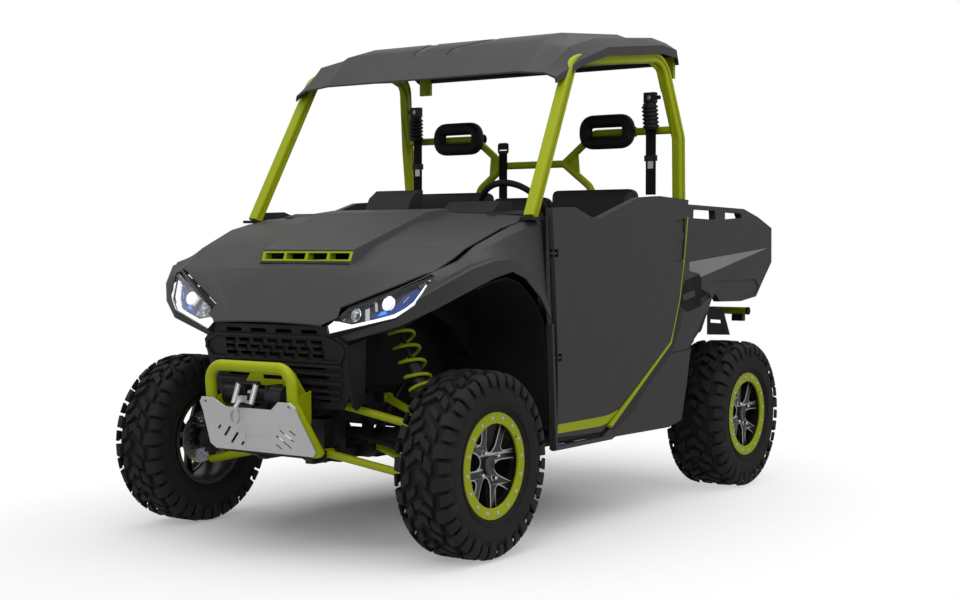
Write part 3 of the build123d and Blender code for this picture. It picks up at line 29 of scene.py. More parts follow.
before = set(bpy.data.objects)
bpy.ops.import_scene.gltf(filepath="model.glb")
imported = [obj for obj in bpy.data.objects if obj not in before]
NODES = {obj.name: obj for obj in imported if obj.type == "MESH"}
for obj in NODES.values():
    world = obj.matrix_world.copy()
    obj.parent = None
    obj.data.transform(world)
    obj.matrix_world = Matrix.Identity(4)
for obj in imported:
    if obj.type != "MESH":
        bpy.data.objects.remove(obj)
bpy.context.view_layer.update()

TYRE_RADIUS = 0.343
AXLE_Z = math.sqrt(TYRE_RADIUS**2 - 0.025**2)     # the tyre stands on a flat block, 50 mm long
AXLES = {"front": -1.05, "rear": 1.05}
WIDTHS = {"front": 0.229, "rear": 0.278}
OUTER_HALF = 0.819      # x of the wheels' outer faces
SIDES = {"left": 1, "right": -1}
WHITE = (1, 1, 1, 1)


# ---- materials ----
def linear(hexed):
    """A hex colour as the linear numbers that the shader takes."""
    out = []
    for i in (0, 2, 4):
        v = int(hexed[i : i + 2], 16) / 255
        out.append(v / 12.92 if v <= 0.04045 else ((v + 0.055) / 1.055) ** 2.4)
    return (*out, 1.0)


def scaled(colour, factor):
    return (*[min(1.0, c * factor) for c in colour[:3]], 1.0)


def feed(tree, socket, value):
    """Links another node's output to a socket, or sets the socket to a plain value."""
    if isinstance(value, bpy.types.NodeSocket):
        tree.links.new(value, socket)
    else:
        socket.default_value = value


def fill(tree, made, **inputs):
    for key, value in inputs.items():
        feed(tree, made.inputs[key.replace("_", " ")], value)
    return made


def node(tree, kind, **inputs):
    return fill(tree, tree.nodes.new(kind), **inputs)


def shader(name, metal=0.0, specular=0.5, coat=0.0):
    """A new material, its tree, its shader and a texture coordinate in metres."""
    made = bpy.data.materials.new(name)
    made.use_nodes = True
    tree = made.node_tree
    surface = fill(tree, tree.nodes["Principled BSDF"], Metallic=metal, Specular_IOR_Level=specular,
                   Coat_Weight=coat, Coat_Roughness=0.12)
    return made, tree, surface, tree.nodes.new("ShaderNodeTexCoord").outputs["Object"]


def noise_of(tree, where, scale, detail=3.0, rough=0.55, stretch=None):
    if stretch:
        where = node(tree, "ShaderNodeMapping", Vector=where, Scale=stretch).outputs["Vector"]
    made = node(tree, "ShaderNodeTexNoise", Vector=where, Scale=scale, Detail=detail, Roughness=rough)
    return made.outputs["Fac"]


def ranged(tree, value, low=0.0, high=1.0, start=0.3, end=0.7):
    """A value between start and end, brought to between low and high."""
    made = node(tree, "ShaderNodeMapRange", Value=value, From_Min=start, From_Max=end, To_Min=low,
                To_Max=high)
    return made.outputs["Result"]


def computed(tree, operation, a, b):
    made = tree.nodes.new("ShaderNodeMath")
    made.operation = operation
    feed(tree, made.inputs[0], a)
    feed(tree, made.inputs[1], b)
    return made.outputs[0]


def mixed(tree, share, a, b):
    """Two colours blended by a share."""
    made = tree.nodes.new("ShaderNodeMix")
    made.data_type = "RGBA"
    for name, value in (("A", a), ("B", b)):
        feed(tree, [s for s in made.inputs if s.name == name and s.type == "RGBA"][0], value)
    feed(tree, made.inputs[0], share)
    return [s for s in made.outputs if s.type == "RGBA"][0]


def blended(tree, share, first, second):
    """Two shader nodes blended by a share."""
    made = tree.nodes.new("ShaderNodeMixShader")
    for socket, value in zip(made.inputs, (share, first.outputs[0], second.outputs[0])):
        feed(tree, socket, value)
    return made.outputs[0]


def bumped(tree, surface, height, strength, distance):
    made = node(tree, "ShaderNodeBump", Height=height, Strength=strength, Distance=distance)
    feed(tree, surface.inputs["Normal"], made.outputs["Normal"])


def edge_wear(tree, start=0.52, end=0.62):
    """Where the surface is sharply convex."""
    geometry = tree.nodes.new("ShaderNodeNewGeometry")
    return ranged(tree, geometry.outputs["Pointiness"], 0.0, 1.0, start, end)


def finish_of(name, hexed, rough, grain, size, metal=0.0, specular=0.5, coat=0.0, vary=0.1, wear=0.25,
              stretch=None, spread=0.08):
    """Cloudy colour, uneven gloss, lighter worn edges and a fine grain of a given size in metres."""
    made, tree, surface, where = shader(name, metal, specular, coat)
    colour = linear(hexed)
    cloud = ranged(tree, noise_of(tree, where, 3.2, 4.0))
    base = mixed(tree, cloud, scaled(colour, 1 - vary), scaled(colour, 1 + vary))
    if wear:
        scuffs = ranged(tree, noise_of(tree, where, 55.0, 4.0, 0.7), 0.0, wear, 0.4, 0.65)
        base = mixed(tree, computed(tree, "MULTIPLY", edge_wear(tree), scuffs), base, scaled(colour, 2.2))
    gloss = ranged(tree, noise_of(tree, where, 9.0), rough - spread, rough + spread)
    fill(tree, surface, Base_Color=base, Roughness=gloss)
    bumped(tree, surface, noise_of(tree, where, 1.0 / size, 2.0, 0.6, stretch), grain, size * 0.4)
    return made


def tyre_rubber():
    """Moulded rubber with a dusty bloom, paler on its worn edges."""
    made, tree, surface, where = shader("tyre_rubber", specular=0.22)
    dust = noise_of(tree, where, 7.0, 6.0, 0.6)
    base = mixed(tree, ranged(tree, dust), linear("181818"), linear("222221"))
    worn = ranged(tree, edge_wear(tree, 0.5, 0.6), 0.0, 0.35, 0.0, 1.0)
    base = mixed(tree, worn, base, linear("2e2e2d"))
    fill(tree, surface, Base_Color=base, Roughness=ranged(tree, dust, 0.62, 0.86))
    bumped(tree, surface, noise_of(tree, where, 420.0, 3.0, 0.7), 0.35, 0.0012)
    return made


def brushed(name, hexed, rough, stretch):
    """Metal with fine scratches drawn out along one direction."""
    made, tree, surface, where = shader(name, metal=1.0)
    lines = noise_of(tree, where, 60.0, 5.0, 0.7, stretch)
    colour = linear(hexed)
    base = mixed(tree, ranged(tree, noise_of(tree, where, 6.0)), scaled(colour, 0.9), scaled(colour, 1.06))
    fill(tree, surface, Base_Color=base, Roughness=ranged(tree, lines, rough - 0.08, rough + 0.12))
    bumped(tree, surface, lines, 0.15, 0.0004)
    return made


def vinyl():
    """Grained seat vinyl: small rounded cells between creases."""
    made, tree, surface, where = shader("seat_vinyl", specular=0.3)
    cells = node(tree, "ShaderNodeTexVoronoi", Vector=where, Scale=420.0)
    cells.feature = "DISTANCE_TO_EDGE"
    tone = noise_of(tree, where, 5.0, 4.0)
    base = mixed(tree, ranged(tree, tone), linear("1b1b1c"), linear("272728"))
    fill(tree, surface, Base_Color=base, Roughness=ranged(tree, tone, 0.5, 0.66))
    bumped(tree, surface, cells.outputs["Distance"], 0.4, 0.0008)
    return made


def webbing():
    """Belt weave: fine ribs along and across the strap, with painted shade in the grooves between them."""
    made, tree, surface, where = shader("belt_webbing", specular=0.15)
    waves = []
    for axis, scale in (("X", 700.0), ("Z", 1100.0)):
        wave = node(tree, "ShaderNodeTexWave", Vector=where, Scale=scale / 6.28, Distortion=0.4)
        wave.bands_direction = axis
        waves.append(wave.outputs["Fac"])
    height = computed(tree, "MULTIPLY", *waves)
    # painted shade: the colour darkens with the weave's depth, the same height that drives the bump
    fill(tree, surface, Base_Color=mixed(tree, height, linear("131314"), linear("2a2a2b")), Roughness=0.85)
    bumped(tree, surface, height, 0.5, 0.0006)
    return made


def glass(name, tint):
    """Thin clear cover: mostly see-through, with reflections that grow towards its edges."""
    made = bpy.data.materials.new(name)
    made.use_nodes = True
    tree = made.node_tree
    tree.nodes.clear()
    clear = node(tree, "ShaderNodeBsdfTransparent", Color=tint)
    gloss = node(tree, "ShaderNodeBsdfGlossy", Color=WHITE, Roughness=0.02)
    edge = node(tree, "ShaderNodeFresnel", IOR=1.45)
    where = tree.nodes.new("ShaderNodeTexCoord").outputs["Object"]
    haze = ranged(tree, noise_of(tree, where, 14.0), 0.22, 0.3)
    share = computed(tree, "MULTIPLY", edge.outputs[0], haze)
    node(tree, "ShaderNodeOutputMaterial", Surface=blended(tree, share, clear, gloss))
    return made


def glowing(name, hexed, strength):
    """A light guide: lit plastic, a little dimmer in patches."""
    made, tree, surface, where = shader(name)
    cloud = ranged(tree, noise_of(tree, where, 40.0, 2.0))
    base = mixed(tree, cloud, scaled(linear(hexed), 0.92), linear(hexed))
    fill(tree, surface, Base_Color=base, Emission_Color=base, Emission_Strength=strength, Roughness=0.25)
    return made


# plastics and paints: name, colour, roughness, grain and its size in metres
M = {
    "body": finish_of("body_plastic", "393939", 0.5, 0.12, 0.0011, specular=0.3, vary=0.02, wear=0.06,
                      spread=0.03),
    "shade": finish_of("body_shadow", "2c2c2c", 0.55, 0.12, 0.0011, specular=0.25, vary=0.02, wear=0.06,
                       spread=0.03),
    "black": finish_of("black_plastic", "1b1b1c", 0.56, 0.3, 0.0016, specular=0.32, vary=0.14),
    "liner": finish_of("liner_plastic", "131314", 0.72, 0.4, 0.003, specular=0.2, vary=0.2, wear=0.1),
    "lime": finish_of("lime_powder_coat", "a6b305", 0.42, 0.1, 0.0022, specular=0.28, vary=0.04, wear=0.05),
    "lime_plastic": finish_of("lime_plastic", "a8b408", 0.45, 0.12, 0.0012, specular=0.3, vary=0.04,
                              wear=0.05),
    "black_steel": finish_of("black_powder_coat", "18181a", 0.45, 0.18, 0.0022, specular=0.35, vary=0.15),
    "steel": brushed("plated_steel", "b9babd", 0.3, (1.0, 1.0, 9.0)),
    "aluminium": finish_of("satin_aluminium", "cfcfd0", 0.4, 0.05, 0.0012, metal=0.35, specular=0.4,
                           vary=0.04, wear=0.05, stretch=(1.0, 12.0, 12.0)),
    "bright": finish_of("zinc_plate", "c9c9ca", 0.3, 0.05, 0.0012, metal=0.45, specular=0.6, vary=0.05,
                        wear=0.0),
    "machined": finish_of("machined_edge", "c4c5c7", 0.34, 0.05, 0.0012, metal=0.3, specular=0.6,
                          vary=0.04, wear=0.0),
    "speckled": finish_of("lamp_housing", "3e3f42", 0.3, 0.9, 0.0045, metal=0.5, specular=0.6, vary=0.35,
                          wear=0.4),
    "chrome": brushed("lamp_chrome", "d9dcdf", 0.09, (1.0, 1.0, 1.0)),
    "rim": finish_of("rim_black", "161617", 0.34, 0.1, 0.0012, coat=0.2, vary=0.12, wear=0.3),
    "cast": finish_of("cast_alloy", "3c3d3f", 0.55, 0.6, 0.0035, metal=0.55, vary=0.2, wear=0.3),
    "rubber": finish_of("moulded_rubber", "1a1a1b", 0.66, 0.4, 0.0018, specular=0.2, vary=0.15, wear=0.1),
    "tyre": tyre_rubber(),
    "vinyl": vinyl(),
    "webbing": webbing(),
    "lens": glass("lamp_lens", (0.96, 0.97, 0.98, 1.0)),
    "white_light": glowing("light_guide", "f8faff", 0.9),
    "blue": glowing("lamp_blue", "1d3f86", 0.1),
    "light_blue": glowing("lamp_light_blue", "3f8cf0", 0.7),
    "stripe": finish_of("grey_stripe", "8e8f93", 0.4, 0.1, 0.001, vary=0.03, wear=0.0),
}


# ---- mesh helpers ----
def linked(name, data):
    obj = bpy.data.objects.new(name, data)
    bpy.context.scene.collection.objects.link(obj)
    return obj


def mesh_of(bm, name):
    mesh = bpy.data.meshes.new(name)
    bm.to_mesh(mesh)
    bm.free()
    return mesh


def made_object(name, mesh, mats, body, replaces=(), slot=None):
    """An object in the row frame that rides on a body."""
    obj = linked(name, mesh)
    for mat in [mats] if isinstance(mats, str) else mats:
        mesh.materials.append(M[mat])
    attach(obj, body)
    if replaces:
        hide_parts(*replaces)
    return obj


def shaded(mesh, angle=32):
    """Smooth faces with sharp edges above an angle."""
    mesh.polygons.foreach_set("use_smooth", [True] * len(mesh.polygons))
    mesh.set_sharp_from_angle(angle=math.radians(angle))
    mesh.update()


def add_bevel(obj, width, segments=2, angle=30):
    mod = obj.modifiers.new("Bevel", "BEVEL")
    mod.width = width
    mod.segments = segments
    mod.limit_method = "ANGLE"
    mod.angle_limit = math.radians(angle)
    mod.harden_normals = False
    mod.miter_outer = "MITER_ARC" if segments > 1 else "MITER_SHARP"
    flat = obj.modifiers.new("Flat faces", "WEIGHTED_NORMAL")
    flat.weight = 90
    flat.keep_sharp = True


def from_bmesh(bm, name, mats, body, angle=32, bevel=0.0, subdivide=0, **more):
    bmesh.ops.recalc_face_normals(bm, faces=bm.faces)
    mesh = mesh_of(bm, name)
    shaded(mesh, angle)
    obj = made_object(name, mesh, mats, body, **more)
    if bevel:
        add_bevel(obj, bevel)
    if subdivide:
        mod = obj.modifiers.new("Subdivision", "SUBSURF")
        mod.levels = mod.render_levels = subdivide
    return obj


def dressed(node_name, mat, body, bevel, pick=None, merge=True):
    """The CAD node's own shape with rounded edges and smooth curved faces."""
    bm = bmesh.new()
    bm.from_mesh(NODES[node_name].data)
    bmesh.ops.remove_doubles(bm, verts=bm.verts, dist=5e-6)
    if merge:
        bmesh.ops.dissolve_limit(bm, angle_limit=math.radians(0.8), verts=bm.verts, edges=bm.edges)
    bm.normal_update()
    if pick:
        for f in bm.faces:
            f.material_index = pick(f.calc_center_median())
    mesh = mesh_of(bm, node_name + "_look")
    shaded(mesh, 30)
    obj = made_object(node_name + "_look", mesh, mat, body, replaces=[node_name])
    add_bevel(obj, bevel)


def stitch(bm, rings, closed=False, caps=True):
    """Faces between rings of points, with a cap on each end unless the last ring meets the first."""
    count = len(rings[0])
    for low, high in zip(rings, rings[1:] + (rings[:1] if closed else [])):
        for i in range(count):
            j = (i + 1) % count
            bm.faces.new((low[i], low[j], high[j], high[i]))
    if caps and not closed:
        bm.faces.new(rings[0][::-1])
        bm.faces.new(rings[-1])


def add_prism(bm, points, low, high, place):
    """A closed prism from a 2D outline, its ends at low and high, each point mapped by place(u, v, w)."""
    stitch(bm, [[bm.verts.new(place(u, v, w)) for u, v in points] for w in (low, high)])


def add_box(bm, low, high):
    points = [(low[0], low[1]), (high[0], low[1]), (high[0], high[1]), (low[0], high[1])]
    add_prism(bm, points, low[2], high[2], lambda u, v, w: Vector((u, v, w)))


def angles(count):
    return [2 * math.pi * i / count for i in range(count)]


def square_to(axis):
    """A direction at right angles to an axis."""
    helper = Vector((0, 0, 1)) if abs(axis.z) < 0.9 else Vector((1, 0, 0))
    return axis.cross(helper).normalized()


def add_ring(bm, centre, axis, radius, count):
    """The points of a circle about an axis."""
    axis = Vector(axis).normalized()
    a = square_to(axis)
    b = axis.cross(a)
    return [bm.verts.new(Vector(centre) + a * math.cos(t) * radius + b * math.sin(t) * radius)
            for t in angles(count)]


def add_turned(bm, centre, axis, profile, count=24, closed=False, caps=True):
    """A turned solid: profile of (distance along the axis, radius)."""
    centre, axis = Vector(centre), Vector(axis).normalized()
    rings = [add_ring(bm, centre + axis * at, axis, max(radius, 1e-5), count) for at, radius in profile]
    stitch(bm, rings, closed, caps)


def add_bolt(bm, at, axis, size):
    """A washer and a domed hexagon head that stand out from a surface."""
    at, axis = Vector(at), Vector(axis).normalized()
    add_turned(bm, at, axis, [(0.0, size * 1.35), (size * 0.16, size * 1.35)], 14)
    head = [add_ring(bm, at + axis * size * rise, axis, size * share, 6)
            for rise, share in ((0.16, 1.0), (0.68, 1.0), (0.8, 0.8))]
    stitch(bm, head, caps=False)
    bm.faces.new(head[-1])


def add_tube(bm, points, radius, count):
    """A round tube along points, with steady rings."""
    points = [Vector(p) for p in points]
    rings = []
    side = None
    for i, p in enumerate(points):
        axis = (points[min(i + 1, len(points) - 1)] - points[max(i - 1, 0)]).normalized()
        side = square_to(axis) if side is None else (side - axis * side.dot(axis)).normalized()
        up = axis.cross(side)
        rings.append([bm.verts.new(p + side * math.cos(t) * radius + up * math.sin(t) * radius)
                      for t in angles(count)])
    stitch(bm, rings)


def rounded(points, radius, steps=4):
    """A polygon with its corners rounded."""
    out = []
    n = len(points)
    for i in range(n):
        p = Vector(points[i])
        a = Vector(points[i - 1]) - p
        b = Vector(points[(i + 1) % n]) - p
        reach = min(radius, a.length * 0.45, b.length * 0.45)
        start = p + a.normalized() * reach
        end = p + b.normalized() * reach
        for k in range(steps + 1):
            t = k / steps
            out.append(tuple(start * (1 - t) ** 2 + p * 2 * t * (1 - t) + end * t**2))
    return out


def outlined(name, outlines, thickness, bevel):
    """A flat plate about z = 0 with chamfered edges: the first outline is its rim, the rest are holes."""
    curve = bpy.data.curves.new(name, "CURVE")
    curve.dimensions = "2D"
    curve.fill_mode = "BOTH"
    for points in outlines:
        spline = curve.splines.new("POLY")
        spline.points.add(len(points) - 1)
        for target, p in zip(spline.points, points):
            target.co = (p[0], p[1], 0.0, 1.0)
        spline.use_cyclic_u = True
    curve.extrude = thickness / 2 - bevel
    curve.bevel_depth = bevel
    curve.bevel_resolution = 0
    curve.offset = -bevel
    temp = bpy.data.objects.new(name, curve)
    mesh = bpy.data.meshes.new_from_object(temp)
    bpy.data.objects.remove(temp)
    bpy.data.curves.remove(curve)
    return mesh


# ---- CAD nodes that keep their shape ----
def frame_colour(c):
    """Lime for the bed's hinge tube, body colour for the door hinges, black for the rest."""
    if 1.325 < c.y < 1.375 and 0.79 < c.z < 0.835:
        return 1
    return 2 if abs(c.x) > 0.735 and c.y < -0.5 and c.z > 0.65 else 0


def cage_colour(c):
    """Painted shade on the sill tubes, in a darker copy of the body colour; black on the feet of the front
    pillars.
    """
    if c.z < 0.45 and abs(c.x) > 0.69:
        return 1
    return 2 if c.y < -0.6 and 1.2 < c.z < 1.2385 else 0


def roof_colour(c):
    """Lime on the lugs that hold the roof's rear edge."""
    return 1 if c.z < 1.962 and 0.49 < c.y < 0.513 and 0.634 < abs(c.x) < 0.702 else 0


def fairlead_colour(c):
    """Bright rollers and hook between black plates."""
    return 1 if c.y > -1.465 and (c.z < 0.549 or c.z > 0.6195) and -0.106 < c.x < 0.015 else 0


DRESSED = [  # node, material, bevel width, material of each face, whether flat faces are merged
    ("frame", ["black_steel", "lime", "body"], 0.0015, frame_colour),
    ("belly_pan", "liner", 0.0015),
    ("cage_sides", ["lime", "shade", "black_steel"], 0.0012, cage_colour),
    ("cage_cross", "lime", 0.001),
    ("roof", ["body", "lime"], 0.003, roof_colour),
    ("hood", "body", 0.002),
    ("hood_vent", "lime_plastic", 0.0012),
    ("front_fenders", "body", 0.002),
    ("front_fascia", "black", 0.0015, None, False),
    ("bumper", "lime", 0.001, None, False),
    ("winch", "black_steel", 0.0015),
    ("winch_fairlead", ["bright", "black_steel"], 0.001, fairlead_colour),
    ("skid_plate", "aluminium", 0.0008, None, False),
    ("radiator", "black_steel", 0.001),
    ("arch_liners", "liner", 0.001),
    ("front_arms", "lime", 0.001),
    ("rear_arms", "black_steel", 0.001),
    ("dampers", "black_steel", 0.001),
    ("driveline", "cast", 0.006),
    ("half_shafts", "rubber", 0.002),
    ("steering_gear", "rubber", 0.001),
    ("steering_column", "black_steel", 0.001),
    ("cabin_tub", "black", 0.002),
    ("dashboard", "black", 0.004),
    ("controls", "black_steel", 0.001),
    ("side_panels", "body", 0.0018),
    ("door_left", "body", 0.0025),
    ("door_right", "body", 0.0025),
    ("bed", "body", 0.0025),
    ("tailgate", "body", 0.003),
    ("engine", "cast", 0.008),
    ("exhaust", "steel", 0.002),
    ("tail_lamps", "black", 0.001),
    ("knuckle_left", "cast", 0.002),
    ("knuckle_right", "cast", 0.002),
    ("tie_rod_left", "steel", 0.001),
    ("tie_rod_right", "steel", 0.001),
]
MOVING = {part: part for part in ("hood", "bed", "tailgate")}
MOVING["hood_vent"] = "hood"
for side in SIDES:
    for part in ("door", "knuckle", "tie_rod"):
        MOVING[f"{part}_{side}"] = f"{part}_{side}"
for node_name, mat, *look in DRESSED:
    dressed(node_name, mat, MOVING.get(node_name, "chassis"), *look)


# ---- wheels: built in x from the outer face, radius and angle, then placed ----
PITCHES = 18
CARCASS_STEPS = 108
RIB_STEPS = 96
SPOKE_TURN = -12        # degrees
BEAD = 0.1785           # radius of the tyre's seat on the rim
BASE = 0.3225           # radius at the roots of the tread blocks
RIM_FACE = -0.042
SPIDER = 0.020          # thickness of the spokes
CARCASS = [  # distance from the outer face and radius, from the bead to the crown
    (0.026, BEAD), (0.0255, 0.187), (0.020, 0.1945), (0.012, 0.204), (0.0075, 0.222), (0.0048, 0.244),
    (0.0052, 0.262), (0.0085, 0.280), (0.0155, 0.298), (0.0250, 0.3105), (0.0400, 0.3185), (0.0640, 0.3225),
]
LUG_TOPS = [  # the same along the tread blocks' outer skin
    (0.0030, 0.268), (0.0008, 0.280), (0.0004, 0.296), (0.0030, 0.312), (0.0110, 0.3275), (0.0230, 0.3365),
    (0.0480, 0.3408), (0.0800, 0.3419),
]
SHOULDER = [  # station on LUG_TOPS, share of the pitch at its start and end
    [(0.0, 0.10, 0.36), (1.0, 0.07, 0.40), (2.0, 0.05, 0.43), (3.0, 0.04, 0.45), (4.0, 0.03, 0.46),
     (5.0, 0.02, 0.46), (6.0, 0.10, 0.50)],
    [(1.6, 0.60, 0.86), (2.2, 0.58, 0.89), (3.0, 0.56, 0.92), (4.0, 0.55, 0.93), (5.0, 0.56, 0.94)],
]
CENTRE = [  # distance from the tread's middle as a share of its half width, then the pitch shares
    [(0.60, 0.62, 0.98), (0.46, 0.50, 0.86), (0.30, 0.38, 0.76)],
    [(0.44, 0.04, 0.34), (0.24, -0.08, 0.20), (0.06, -0.20, 0.08)],
    [(0.20, 0.30, 0.62), (-0.04, 0.22, 0.52), (-0.18, 0.30, 0.50)],
]


def along_rows(rows, station):
    i = min(int(station), len(rows) - 2)
    t = station - i
    return tuple(a + (b - a) * t for a, b in zip(rows[i], rows[i + 1]))


def wheel_placer(end, side):
    def place(x, radius, angle):
        """Local x, radius and angle from +Y towards +Z."""
        return Vector((SIDES[side] * (OUTER_HALF + x), AXLES[end] + radius * math.cos(angle),
                       AXLE_Z + radius * math.sin(angle)))

    return place


def add_hoop(bm, section, count, place):
    """A closed section of (x, radius) carried round the wheel."""
    stitch(bm, [[bm.verts.new(place(x, r, t)) for t in angles(count)] for x, r in section], closed=True)


def add_lug(bm, stations, place):
    """A tread block: rows of (x and radius of its top, x and radius of its root, start angle, end angle)."""
    lean = 0.007
    rows = []
    for x, top, root_x, root, start, stop in stations:
        corners = ((root_x, root, start), (x, top, start + lean), (x, top, stop - lean), (root_x, root, stop))
        rows.append([bm.verts.new(place(*corner)) for corner in corners])
    stitch(bm, rows, caps=False)
    bm.faces.new(rows[0])
    bm.faces.new(rows[-1][::-1])


def make_tyre(end, side):
    width = WIDTHS[end]
    half = width / 2
    place = wheel_placer(end, side)
    bm = bmesh.new()
    # the bead lips, last, close the carcass on its inside
    profile = CARCASS + [(half, 0.3235)] + [(width - a, r) for a, r in CARCASS[::-1]]
    profile += [(width - 0.034, BEAD), (0.034, BEAD)]
    add_hoop(bm, [(-a, r) for a, r in profile], CARCASS_STEPS, place)
    pitch = 2 * math.pi / PITCHES
    for i in range(PITCHES):
        for flip in (False, True):
            shift = (i + (0.5 if flip else 0.0)) * pitch
            for lug in SHOULDER:
                stations = []
                for station, start, stop in lug:
                    a, top = along_rows(LUG_TOPS, station)
                    root = min(top - (0.018 if station > 4 else 0.004), BASE)
                    depth = a + 0.008 if station < 4 else a
                    a, depth = (width - a, width - depth) if flip else (a, depth)
                    stations.append((-a, top, -depth, root, shift + start * pitch, shift + stop * pitch))
                add_lug(bm, stations, place)
        for k, lug in enumerate(CENTRE):
            # the last block sits across the middle, once in a pitch
            for flip in (False, True) if k < 2 else (bool(i % 2),):
                shift = (i + (0.5 if flip else 0.0)) * pitch
                stations = []
                for share, start, stop in lug:
                    x = (-1 if flip else 1) * share * (half - 0.012) - half
                    stations.append((x, 0.3419 - 0.004 * abs(share), x, BASE - 0.0015, shift + start * pitch,
                                     shift + stop * pitch))
                add_lug(bm, stations, place)
    # two fine ribs round each side wall
    for a, r in ((0.0072, 0.2155), (0.0108, 0.2065)):
        for x, out in ((-a, 0.0016), (a - width, -0.0016)):
            add_hoop(bm, [(x - out, r - 0.0018), (x + out, r - 0.0009), (x + out, r + 0.0009),
                          (x - out, r + 0.0018)], RIB_STEPS, place)
    obj = from_bmesh(bm, f"tyre_look_{end}_{side}", "tyre", f"wheel_{end}_{side}", angle=28,
                     replaces=[f"tyre_{end}_{side}"], slot="tyre")
    add_bevel(obj, 0.0016, 1, 35)


def polar(radius, degrees):
    return radius * math.cos(math.radians(degrees)), radius * math.sin(math.radians(degrees))


def circle(radius, count, turn=360):
    return [polar(radius, turn * i / count) for i in range(count)]


def spoke_outlines():
    """The spider's outer circle and its eight gaps."""
    outlines = [circle(0.1700, 96)]
    wide = [(0.048, 12), (0.074, 21), (0.160, 15.5)]
    narrow = [(0.098, 5.5), (0.160, 16.5)]
    for half, phase in ((wide, SPOKE_TURN), (narrow, SPOKE_TURN + 45)):
        for i in range(4):
            turn = phase + 90 * i
            gap = [polar(r, turn - a) for r, a in half]
            gap += [polar(0.1635, turn - half[-1][1] * 0.4), polar(0.1635, turn + half[-1][1] * 0.4)]
            gap += [polar(r, turn + a) for r, a in half[::-1]]
            outlines.append(rounded(gap, 0.011)[::-1])
    return outlines


def make_rim(end, side):
    width = WIDTHS[end]
    s = SIDES[side]
    place = wheel_placer(end, side)
    body = f"wheel_{end}_{side}"
    centre = Vector((s * OUTER_HALF, AXLES[end], AXLE_Z))
    spider = outlined("spider", spoke_outlines(), SPIDER, 0.0042)
    bm = bmesh.new()
    bm.from_mesh(spider)
    bpy.data.meshes.remove(spider)
    for v in bm.verts:
        u, w, h = v.co
        h = 0.0088 if 0.002 < h < 0.009 else h     # the bright bands lie nearly flat
        r = math.hypot(u, w)
        dish = 0.012 * max(0.0, 1 - r / 0.11)      # the hub sits a little deeper
        v.co = place(RIM_FACE - SPIDER / 2 + h - dish, r, math.atan2(w, u))
    bmesh.ops.remove_doubles(bm, verts=bm.verts, dist=1e-6)
    bmesh.ops.recalc_face_normals(bm, faces=bm.faces)
    bm.normal_update()
    for f in bm.faces:
        mid = f.calc_center_median() - centre
        f.material_index = 1 if 0.3 < f.normal.x * s < 0.985 and math.hypot(mid.y, mid.z) < 0.1585 else 0
    from_bmesh(bm, f"spokes_{end}_{side}", ["rim", "machined"], body, angle=25, slot="rim_alloy")

    # barrel, then hub and stub, then centre cap
    edge = width - 0.026
    barrel = [(0.0262, 0.1690), (0.0262, 0.1778), (0.052, 0.1778), (0.060, 0.1725), (edge - 0.03, 0.1725),
              (edge - 0.014, 0.1778), (edge, 0.1778), (edge, 0.1885), (edge + 0.007, 0.1885),
              (edge + 0.007, 0.171), (edge - 0.010, 0.1690), (edge - 0.03, 0.1665), (0.060, 0.1665)]
    stub = 0.160 + (0.052 if end == "front" else 0.134)
    bm = bmesh.new()
    add_turned(bm, centre, (-s, 0, 0), barrel, 96, closed=True)
    add_turned(bm, centre, (-s, 0, 0), [(0.056, 0.046), (0.160, 0.046), (0.160, 0.020), (stub, 0.020)], 40)
    add_turned(bm, centre, (-s, 0, 0),
               [(0.038, 0.021), (0.0355, 0.026), (0.0375, 0.031), (0.046, 0.0335), (0.060, 0.0345)], 40)
    from_bmesh(bm, f"barrel_{end}_{side}", "rim", body, angle=30, replaces=[f"rim_{end}_{side}"],
               slot="rim_alloy")

    # brake disc with its rows of holes
    outlines = [circle(0.104, 64), circle(0.045, 48, -360)]
    for i in range(12):
        for r, turn in ((0.066, 0), (0.080, 10), (0.093, 20)):
            x, y = polar(r, 30 * i + turn)
            outlines.append([(x + u, y + v) for u, v in circle(0.0036, 10, -360)])
    disc = outlined("disc", outlines, 0.006, 0.0005)
    for v in disc.vertices:
        u, w, h = v.co
        v.co = place(h - 0.157, math.hypot(u, w), math.atan2(w, u))
    shaded(disc, 30)
    made_object(f"brake_disc_{end}_{side}", disc, "steel", body, slot="steel")

    # clamp ring, its sixteen bolts, the four wheel nuts and the valve
    dressed(f"ring_{end}_{side}", "lime", body, 0.0016)
    bm = bmesh.new()
    for i in range(16):
        add_bolt(bm, place(-0.0162, 0.1725, math.radians(22.5 * i + 6)), (s, 0, 0), 0.0056)
    from_bmesh(bm, f"ring_bolts_{end}_{side}", "bright", body, angle=25)
    bm = bmesh.new()
    for i in range(4):
        at = place(-0.0500, 0.057, math.radians(SPOKE_TURN + 45 + 90 * i))
        add_turned(bm, at, (s, 0, 0),
                   [(0.0, 0.0125), (0.003, 0.0125), (0.004, 0.0085), (0.018, 0.0080), (0.0215, 0.0055)], 6)
    from_bmesh(bm, f"wheel_nuts_{end}_{side}", "chrome", body, angle=25, slot="steel")
    bm = bmesh.new()
    at = place(-0.024, 0.160, math.radians(SPOKE_TURN + 45 + 2))
    add_turned(bm, at, (s, 0, 0), [(-0.02, 0.0035), (0.006, 0.0035), (0.007, 0.0028), (0.012, 0.0026)], 10)
    from_bmesh(bm, f"valve_{end}_{side}", "rubber", body, slot="rubber")


for end in AXLES:
    for side in SIDES:
        make_tyre(end, side)
        make_rim(end, side)


